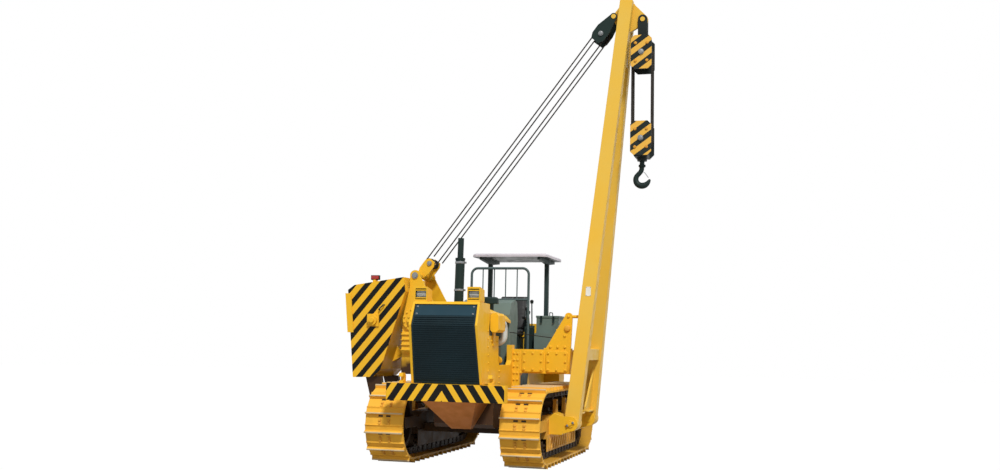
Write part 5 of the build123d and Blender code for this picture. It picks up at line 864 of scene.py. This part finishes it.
def operator_seat():
    """Cushion and leaning back in sewn vinyl on a pressed pan, with two arm pads on stays."""
    rest_y = SEAT_Y + SEAT_DEEP / 2 - 120
    raked = Matrix.Rotation(-SEAT_RAKE, 4, "X")
    cushion = blank((-SEAT_HALF + 12, SEAT_Y - SEAT_DEEP / 2 + 12, SEAT_TOP - 126),
                    (SEAT_HALF - 12, rest_y - 4, SEAT_TOP - 12))
    applied(cushion, "BEVEL", width=0.034, segments=3)
    sewn(stuffed(cushion, 10), (-90, 0, 90), 9, 16)
    back = fresh("cube", size=1, scale=(0.484, 0.088, 0.620))
    applied(back, "BEVEL", width=0.034, segments=3)
    back.data.transform(Matrix.Translation(at(0, rest_y + 100, SEAT_TOP + 284)) @ raked)
    sewn(stuffed(back, 10), (-90, 0, 90), 9, 16)
    for pad, name in ((cushion, "seat_cushion"), (back, "seat_backrest")):
        applied(pad, "SUBSURF", levels=1, render_levels=1)
        fitted(pad, name, "tractor", "vinyl", smooth=80)
    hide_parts("operator_seat")

    pan = blank((-215, SEAT_Y - 190, DECK_TOP), (215, SEAT_Y + 225, SEAT_TOP - 150))
    inset(pan, looking(LEFT, RIGHT, FRONT, REAR), 40, -12)
    pull(pan, looking(UP), (0, 0, 14))
    shell = fresh("cube", size=1, scale=(0.470, 0.012, 0.640))
    inset(shell, looking(REAR), 50, -5)
    shell.data.transform(Matrix.Translation(at(0, rest_y + 156, SEAT_TOP + 270)) @ raked)
    stays = []
    for side, name in ((1, "arm_pad_left"), (-1, "arm_pad_right")):
        x = side * SEAT_HALF
        stay = blank((x - 16, SEAT_Y + 80, SEAT_TOP - 90), (x + 16, SEAT_Y + 140, SEAT_TOP + 180))
        pull(stay, looking(UP), (0, -170, 2))
        stays.append(stay)
        x += side * 17
        pad = blank((x - 34, SEAT_Y - 130, SEAT_TOP + 176), (x + 34, SEAT_Y + 180, SEAT_TOP + 232))
        applied(pad, "BEVEL", width=0.014, segments=2)
        applied(pad, "SUBSURF", levels=2, render_levels=2)
        fitted(pad, name, "tractor", "vinyl", smooth=80)
    fitted(joined(pan, shell, *stays), "seat_pan", "tractor", "post", rim=4)


# Fittings on the tractor


def bolted_covers():
    """Bolt heads on the winch covers, the beam's covers and root bracket, and the nose's cheeks."""
    places = []
    for x, z in DRUMS:
        places += ring_of(12, (x, WINCH_FACE, z), 164, FRONT)
        places += ring_of(6, (x, WINCH_FACE - 40, z), 78, FRONT)
    low, middle, high = 1462, 1593, 1724
    for left, right in BEAM_COVERS:
        ends = (left + BEAM_COVER_RIM, right - BEAM_COVER_RIM)
        for x in (ends[0], (left + right) / 2, ends[1]):
            places += [standing(at(x, BEAM_FACE, z), FRONT) for z in (low, high)]
        places += [standing(at(x, BEAM_FACE, middle), FRONT) for x in ends]
    for z in range(1190, 1780, 105):
        places += [standing(at(x, BEAM_FACE, z), FRONT) for x in BEAM_BRACKET_X]
    bolted("cover_bolts", "tractor", "yellow", (26, 16), places)

    # columns on the nose and the hull, seen from 900 mm out on each side: solid, y, z
    rows = [("radiator_guard", -2010, z) for z in range(1330, 2060, 120)]
    rows += [("main_frame", y, 1900) for y in (-1800, -1640, -1480)]
    rows += [("main_frame", -1330, z) for z in range(1260, 1530, 90)]
    places = [on_surface(name, (side * 900, y, z), side * RIGHT) for side in (1, -1) for name, y, z in rows]
    bolted("guard_bolts", "tractor", "yellow", (22, 13), places)

    places = []
    for side in (1, -1):
        for turn in (0.8, 2.4, 3.9, 5.5):
            x, y = side * RAIL_X + 38 * math.cos(turn), RAIL_Y + 38 * math.sin(turn)
            places.append(standing(at(x, y, DECK_TOP + 20), UP))
    bolted("rail_flange_bolts", "tractor", "zinc", (14, 9), places)


def grille_head_plate():
    """Bare head plate over the grille, with a raised rim and a bolt at each corner."""
    plate = fresh("cube", size=1, scale=(0.930, 0.006, 0.168))
    inset(plate, looking(FRONT), 9, -2)
    up = 219
    middle = at(0, NOSE_KNEE_Y + up * NOSE_RAKE / NOSE_RISE + 11.5, NOSE_KNEE_Z + up)
    place = Matrix.Translation(middle) @ Matrix.Rotation(-math.atan2(NOSE_RAKE, NOSE_RISE), 4, "X")
    plate.data.transform(place)
    fitted(plate, "grille_head_plate", "tractor", "head_plate", rim=1.5)
    corners = [place @ standing(Vector((x, -0.003, z)), FRONT)
               for x in (-0.435, 0.435) for z in (-0.058, 0.058)]
    bolted("head_plate_bolts", "tractor", "zinc", (20, 12), corners)


def lamp_linings():
    """Black pressed linings in the two lamp housings, with two guard bars across the glass."""
    linings = []
    for x in (LAMP_X, -LAMP_X):
        lining = blank((x - LAMP_HALF, LAMP_FRONT, LAMP_Z + 30.5), (x + LAMP_HALF, LAMP_BACK, LAMP_Z + 191.5))
        pick(lining, looking(FRONT))
        bpy.ops.mesh.delete(type="FACE")
        bench(lining)
        linings.append(applied(lining, "SOLIDIFY", thickness=0.002, offset=-1))
        for z in (LAMP_Z + 70, LAMP_Z + 120):
            bar = blank((x - LAMP_HALF + 1.5, LAMP_FRONT + 2, z),
                        (x + LAMP_HALF - 1.5, LAMP_FRONT + 10, z + 9))
            linings.append(inset(bar, looking(FRONT), 2, 2))
    fitted(joined(*linings), "lamp_linings", "tractor", "black")


def engine_fittings():
    """Injection pump in the open bay with its six delivery pipes, and the stack's two clamp bands."""
    pump_x, pump_z, head_x, head_z = 371, 1600, 238, 1850
    pump = blank((pump_x - 41, -1290, pump_z - 55), (pump_x + 41, -930, pump_z + 60))
    inset(pump, looking(LEFT), 14, 8)
    pull(pump, looking(UP), (-16, 0, 34))
    governor = fresh("cylinder", vertices=24, radius=0.062, depth=0.120, location=at(pump_x, -870, pump_z),
                     rotation=(math.pi / 2, 0, 0))
    inset(governor, looking(FRONT, REAR), 12, 10)
    fitted(joined(pump, governor), "injection_pump", "tractor", "yellow", rim=5)
    pipes = []
    for count in range(6):
        x, y, head_y = pump_x - 16, -1262 + count * 60, -1640 + count * 190
        pipes.append(tube([(x, y, pump_z + 90), (x, y, pump_z + 180), (x - 15, (y + head_y) / 2, head_z - 10),
                           (head_x + 24, head_y, head_z), (head_x, head_y, head_z)], 5))
    fitted(joined(*pipes), "delivery_pipes", "tractor", "zinc", smooth=60)

    clamps = []
    for z in (2700, 3140):
        y = STACK_Y + (z - STACK_Z) * math.tan(math.radians(STACK_LEAN))
        band = fresh("cylinder", vertices=40, radius=STACK_R * MM, depth=0.034, end_fill_type="NOTHING",
                     location=at(STACK_X, y, z))
        clamps.append(applied(band, "SOLIDIFY", thickness=0.005, offset=1))
        ears = blank((STACK_X + 82, y - 12, z - 15), (STACK_X + 104, y + 12, z + 15))
        clamps.append(inset(ears, looking(FRONT, REAR), 5, 4))
    fitted(joined(*clamps), "stack_clamps", "tractor", "zinc", rim=1.5)


def tank_fittings():
    """Caps on the fuel and oil tanks, straps round the fuel tank, and the locker's handle and catches."""
    caps = []
    for x, y, z, radius in ((580, 2135, 2319, 68), (-711, 1130, 2384, 63)):
        cap = fresh("cylinder", vertices=24, radius=radius * MM, depth=0.036, location=at(x, y, z))
        inset(cap, looking(UP), 10, 7)
        # every second facet of the rim stands out as a grip
        pick(cap, lambda out: abs(out.z) < 0.1 and int(math.degrees(math.atan2(out.y, out.x)) // 15) % 2)
        bpy.ops.mesh.extrude_region_shrink_fatten(TRANSFORM_OT_shrink_fatten={"value": 0.006})
        caps.append(bench(cap))
    fitted(joined(*caps), "tank_caps", "tractor", "black", rim=2)

    straps = []
    for x in STRAP_XS:
        strap = bench(blank((x - 30, TANK_FRONT, TANK_FOOT), (x + 30, TANK_REAR, TANK_TOP)))
        bpy.ops.object.mode_set(mode="EDIT")
        bpy.ops.mesh.select_mode(type="EDGE")
        bpy.ops.mesh.select_all(action="DESELECT")
        shape = bmesh.from_edit_mesh(strap.data)
        for edge in shape.edges:
            first, second = (vertex.co for vertex in edge.verts)
            behind = min(first.y, second.y) > at(0, TANK_REAR - 45, 0).y
            edge.select_set(behind and abs(first.x - second.x) > 0.01)
        bmesh.update_edit_mesh(strap.data)
        bpy.ops.mesh.bevel(offset=TANK_ROUND * MM, segments=6, affect="EDGES")
        straps.append(bench(strap))
    fitted(joined(*straps), "tank_straps", "tractor", "black", rim=1.5)
    places = [standing(at(x, TANK_REAR, z), REAR) for x in STRAP_XS for z in (1500, 1560)]
    bolted("strap_bolts", "tractor", "zinc", (26, 18), places)

    rise, crown = LOCKER_TOP + 55, LOCKER_TOP + 63
    bow = ((1290, LOCKER_TOP), (1290, rise), (1310, crown), (1510, crown), (1530, rise), (1530, LOCKER_TOP))
    pieces = [tube([(LOCKER_X, y, z) for y, z in bow], 8)]
    for x in (LOCKER_X - 111, LOCKER_X + 111):
        catch = blank((x - 16, 1102, LOCKER_TOP - 107), (x + 16, 1118, LOCKER_TOP - 5))
        inset(catch, looking(FRONT), 5, -3)
        pieces.append(pull(catch, looking(DOWN), (0, -8, -16)))
    fitted(joined(*pieces), "locker_handle", "tractor", "black", rim=2, smooth=50)


def driving_controls():
    """Dials on the dash, rubber topped pedals on the floor, and round knobs on the levers."""
    slope = math.atan2(DASH_RAKE, DASH_RISE)
    panel = Matrix.Translation(at(0, DASH_Y, DASH_Z)) @ Matrix.Rotation(slope, 4, "X")
    rows = [(x, 0.03) for x in (-0.24, -0.12, 0.0, 0.12, 0.24)] + [(x, -0.09) for x in (-0.06, 0.06)]
    spots = [panel @ standing(Vector((x, 0, z)), REAR) for x, z in rows]
    bezel = fresh("cylinder", vertices=28, radius=0.044, depth=0.020, location=(0, 0, 0.008))
    inset(bezel, looking(UP), 5, -6)
    fitted(spread(bezel, spots), "dial_bezels", "tractor", "chrome", rim=1)
    card = fresh("cylinder", vertices=28, radius=0.0385, depth=0.004, location=(0, 0, 0.0115))
    inset(card, looking(UP), 3, -0.6)
    fitted(spread(card, spots), "dial_cards", "tractor", "dial")
    needle = fresh("cube", size=1, scale=(0.004, 0.030, 0.0016), location=(0, 0.009, 0.0142))
    inset(needle, looking(UP), 1, 0.4)
    pick(needle, looking(REAR))
    bpy.ops.transform.resize(value=(0.3, 1, 1))
    bench(needle)
    turned = [spot @ Matrix.Rotation(0.7 - 0.35 * count, 4, "Z") for count, spot in enumerate(spots)]
    fitted(spread(needle, turned), "dial_needles", "tractor", "plate")

    pedal = fresh("cube", size=1, scale=(0.110, 0.016, 0.130))
    for height in (-0.04, 0.0, 0.04):
        rib = fresh("cube", size=1, scale=(0.100, 0.010, 0.014), location=(0, 0.012, height))
        inset(rib, looking(REAR), 3, 2)
        pedal = joined(pedal, rib)
    pads = [Matrix.Translation(at(x, 250, 1905)) @ Matrix.Rotation(-0.6, 4, "X") for x in PEDAL_XS]
    fitted(spread(pedal, pads), "pedal_pads", "tractor", "rubber", rim=2)
    stems = [tube([(x, 244, 1908), (x, 190, 1880), (x, 160, 1830), (x, 150, DECK_TOP - 2)], 13)
             for x in PEDAL_XS]
    fitted(joined(*stems), "pedal_stems", "tractor", "post", smooth=60)

    knobs = []
    for lever_top in ((375, 950, 2492), (459, 970, 2619), (415, 920, 2428)):
        knob = fresh("uv_sphere", segments=20, ring_count=12, radius=0.033, location=at(*lever_top))
        pick(knob, lambda out: out.z < -0.75)
        bpy.ops.transform.resize(value=(0.75, 0.75, 1))
        bpy.ops.transform.translate(value=(0, 0, -0.006))
        knobs.append(bench(knob))
    fitted(joined(*knobs), "lever_knobs", "tractor", "rubber", smooth=60)


def rigging_details():
    """Nuts on the sheave axles and pins, keeper plates on the boom's foot pins, and the stay wire."""
    pin = joint_at["hoist_block_plumb"]
    low, high = joint_at["gantry_link_swing"], joint_at["luffing_block_swing"]
    along = (high - low).normalized()
    axles = {"hoist_block": pin + DOWN * HOIST_DROP * MM, "hook_block": pin + DOWN * HOOK_DROP * MM,
             "gantry_link": low + along * LINK_LENGTH * MM, "luffing_block": high - along * LUFF_DROP * MM}
    for body, axle in axles.items():
        hoisting = body in ("hoist_block", "hook_block")
        out = (BLOCK_SIDE if hoisting else LUFF_SIDE) * MM
        places = [standing(axle + side * REAR * out, side * REAR) for side in (1, -1)]
        nut = (64, 24) if hoisting else (58, 22)
        bolted(f"{body}_axle_nuts", body, "zinc", nut, places)
        if hoisting:
            middle = (axle - ZERO) / MM
            places = [on_surface(body, middle + Vector((x, side * 900, z)), side * FRONT)
                      for side in (1, -1) for x in (-95, 95) for z in (-150, 150)]
            bolted(f"{body}_plate_bolts", body, "shoe_bolt", (36, 18), places)
    places = [standing(low + side * REAR * GANTRY_SIDE * MM, side * REAR) for side in (1, -1)]
    bolted("gantry_pin_nuts", "tractor", "zinc", (74, 22), places)

    keeper = fresh("cube", size=1, scale=(0.150, 0.050, 0.012), location=(0, 0, 0.006))
    inset(keeper, looking(UP), 8, 3)
    foot = joint_at["boom_luff"]
    spots = [standing(foot + side * REAR * FOOT_SIDE * MM, side * REAR, 0.5) for side in (1, -1)]
    places = [spot @ Matrix.Translation((x, 0, 0.015)) for spot in spots for x in (-0.05, 0.05)]
    bolted("foot_pin_bolts", "tractor", "zinc", (26, 14), places)
    fitted(spread(keeper, spots), "foot_pin_keepers", "tractor", "yellow", rim=2)

    wire = wire_rope(at(429, -385, 2055), at(1176, -495, 1975), 7)
    fitted(wire, "stop_stay_wire", "tractor", "rope", smooth=60)


def boom_stop_bolts():
    """Cap over the boom stop's buffer pin, with the bolts of the stop's plate."""
    cap = fresh("cylinder", vertices=28, radius=0.050, depth=0.024, location=(0, 0, 0.012))
    inset(cap, looking(UP), 12, 7)
    cap.data.transform(on_surface("boom_stop", (1425, -900, 2130), REAR))
    fitted(cap, "stop_pin_cap", "tractor", "shoe_bolt", rim=3)
    spots = ((1440, 2320), (1150, 1830), (1270, 1830), (1390, 1830), (1385, 2010))
    places = [on_surface("boom_stop", (x, -900, z), REAR) for x, z in spots]
    bolted("stop_bolts", "tractor", "yellow", (32, 18), places)


def weight_handle():
    """Bent grab rung on the face of the first slab."""
    low, high, bent, out = (-1812, 2398), (-1730, 2480), WEIGHT_FACE - 42, WEIGHT_FACE - 48
    route = [(low[0], WEIGHT_FACE, low[1]), (low[0], bent, low[1]), (low[0] + 6, out, low[1] + 6),
             (high[0] - 6, out, high[1] - 6), (high[0], bent, high[1]), (high[0], WEIGHT_FACE, high[1])]
    fitted(tube(route, 11), "weight_grab_rung", "counterweight", "post", smooth=60)


def counterweight_lamp():
    """Red marker lamp on a yellow bracket on top of the first slab."""
    top = on_surface("counterweight", (-1940, -430, 3400), DOWN)
    bracket = fresh("cube", size=1, scale=(0.120, 0.050, 0.012), location=(0, 0, 0.006))
    pull(bracket, looking(UP), (0, 0, 26))
    inset(bracket, looking(FRONT, REAR), 6, -6)
    bracket.data.transform(top)
    fitted(bracket, "marker_bracket", "counterweight", "yellow", rim=3)
    point = top.translation
    body = fresh("cube", size=1, scale=(0.150, 0.060, 0.080), location=point + Vector((0, 0, 0.078)))
    inset(body, looking(FRONT), 7, -4)
    fitted(body, "marker_housing", "counterweight", "black", rim=5)
    lens = fresh("cube", size=1, scale=(0.132, 0.020, 0.062), location=point + Vector((0, -0.026, 0.078)))
    inset(lens, looking(FRONT), 8, 7)
    fitted(lens, "marker_lens", "counterweight", "red_lens", rim=3)


def boom_plate():
    """Bare white plate on the boom's front leg, held by four rivets."""
    place = on_surface("boom_legs", (BOOM_PLATE_X, -1400, BOOM_PLATE_Z), REAR)
    plate = fresh("cube", size=1, scale=(0.082, 0.148, 0.004), location=(0, 0, 0.002))
    inset(plate, looking(UP), 4, -1)
    plate.data.transform(place)
    fitted(plate, "boom_bare_plate", "boom", "plate", rim=1)
    rivets = [place @ Matrix.Translation((x, y, 0.003)) for x in (-0.032, 0.032) for y in (-0.065, 0.065)]
    bolted("boom_plate_rivets", "boom", "zinc", (9, 4), rivets)


def ram_pipe():
    """Rigid oil pipe along the counterweight ram's barrel, between its two ports."""
    low = joint_at["ram_barrel_pivot"]
    along = (at(*RAM_EYE) - low).normalized()
    above = Vector((along.z, 0, -along.x))
    if above.z < 0:
        above = -above
    route = []
    for reach, rise in ((110, 60), (110, 104), (150, 112), (560, 112), (600, 104), (600, 60)):
        route.append((low - ZERO) / MM + along * reach + above * rise)
    fitted(tube(route, 10), "ram_oil_pipe", "ram_barrel", "zinc", smooth=60)


track_fittings()
luffing_ropes()
hoist_rope()
drum_ropes()
forged_hook()
operator_seat()
bolted_covers()
grille_head_plate()
lamp_linings()
engine_fittings()
tank_fittings()
driving_controls()
rigging_details()
boom_stop_bolts()
weight_handle()
counterweight_lamp()
boom_plate()
ram_pipe()
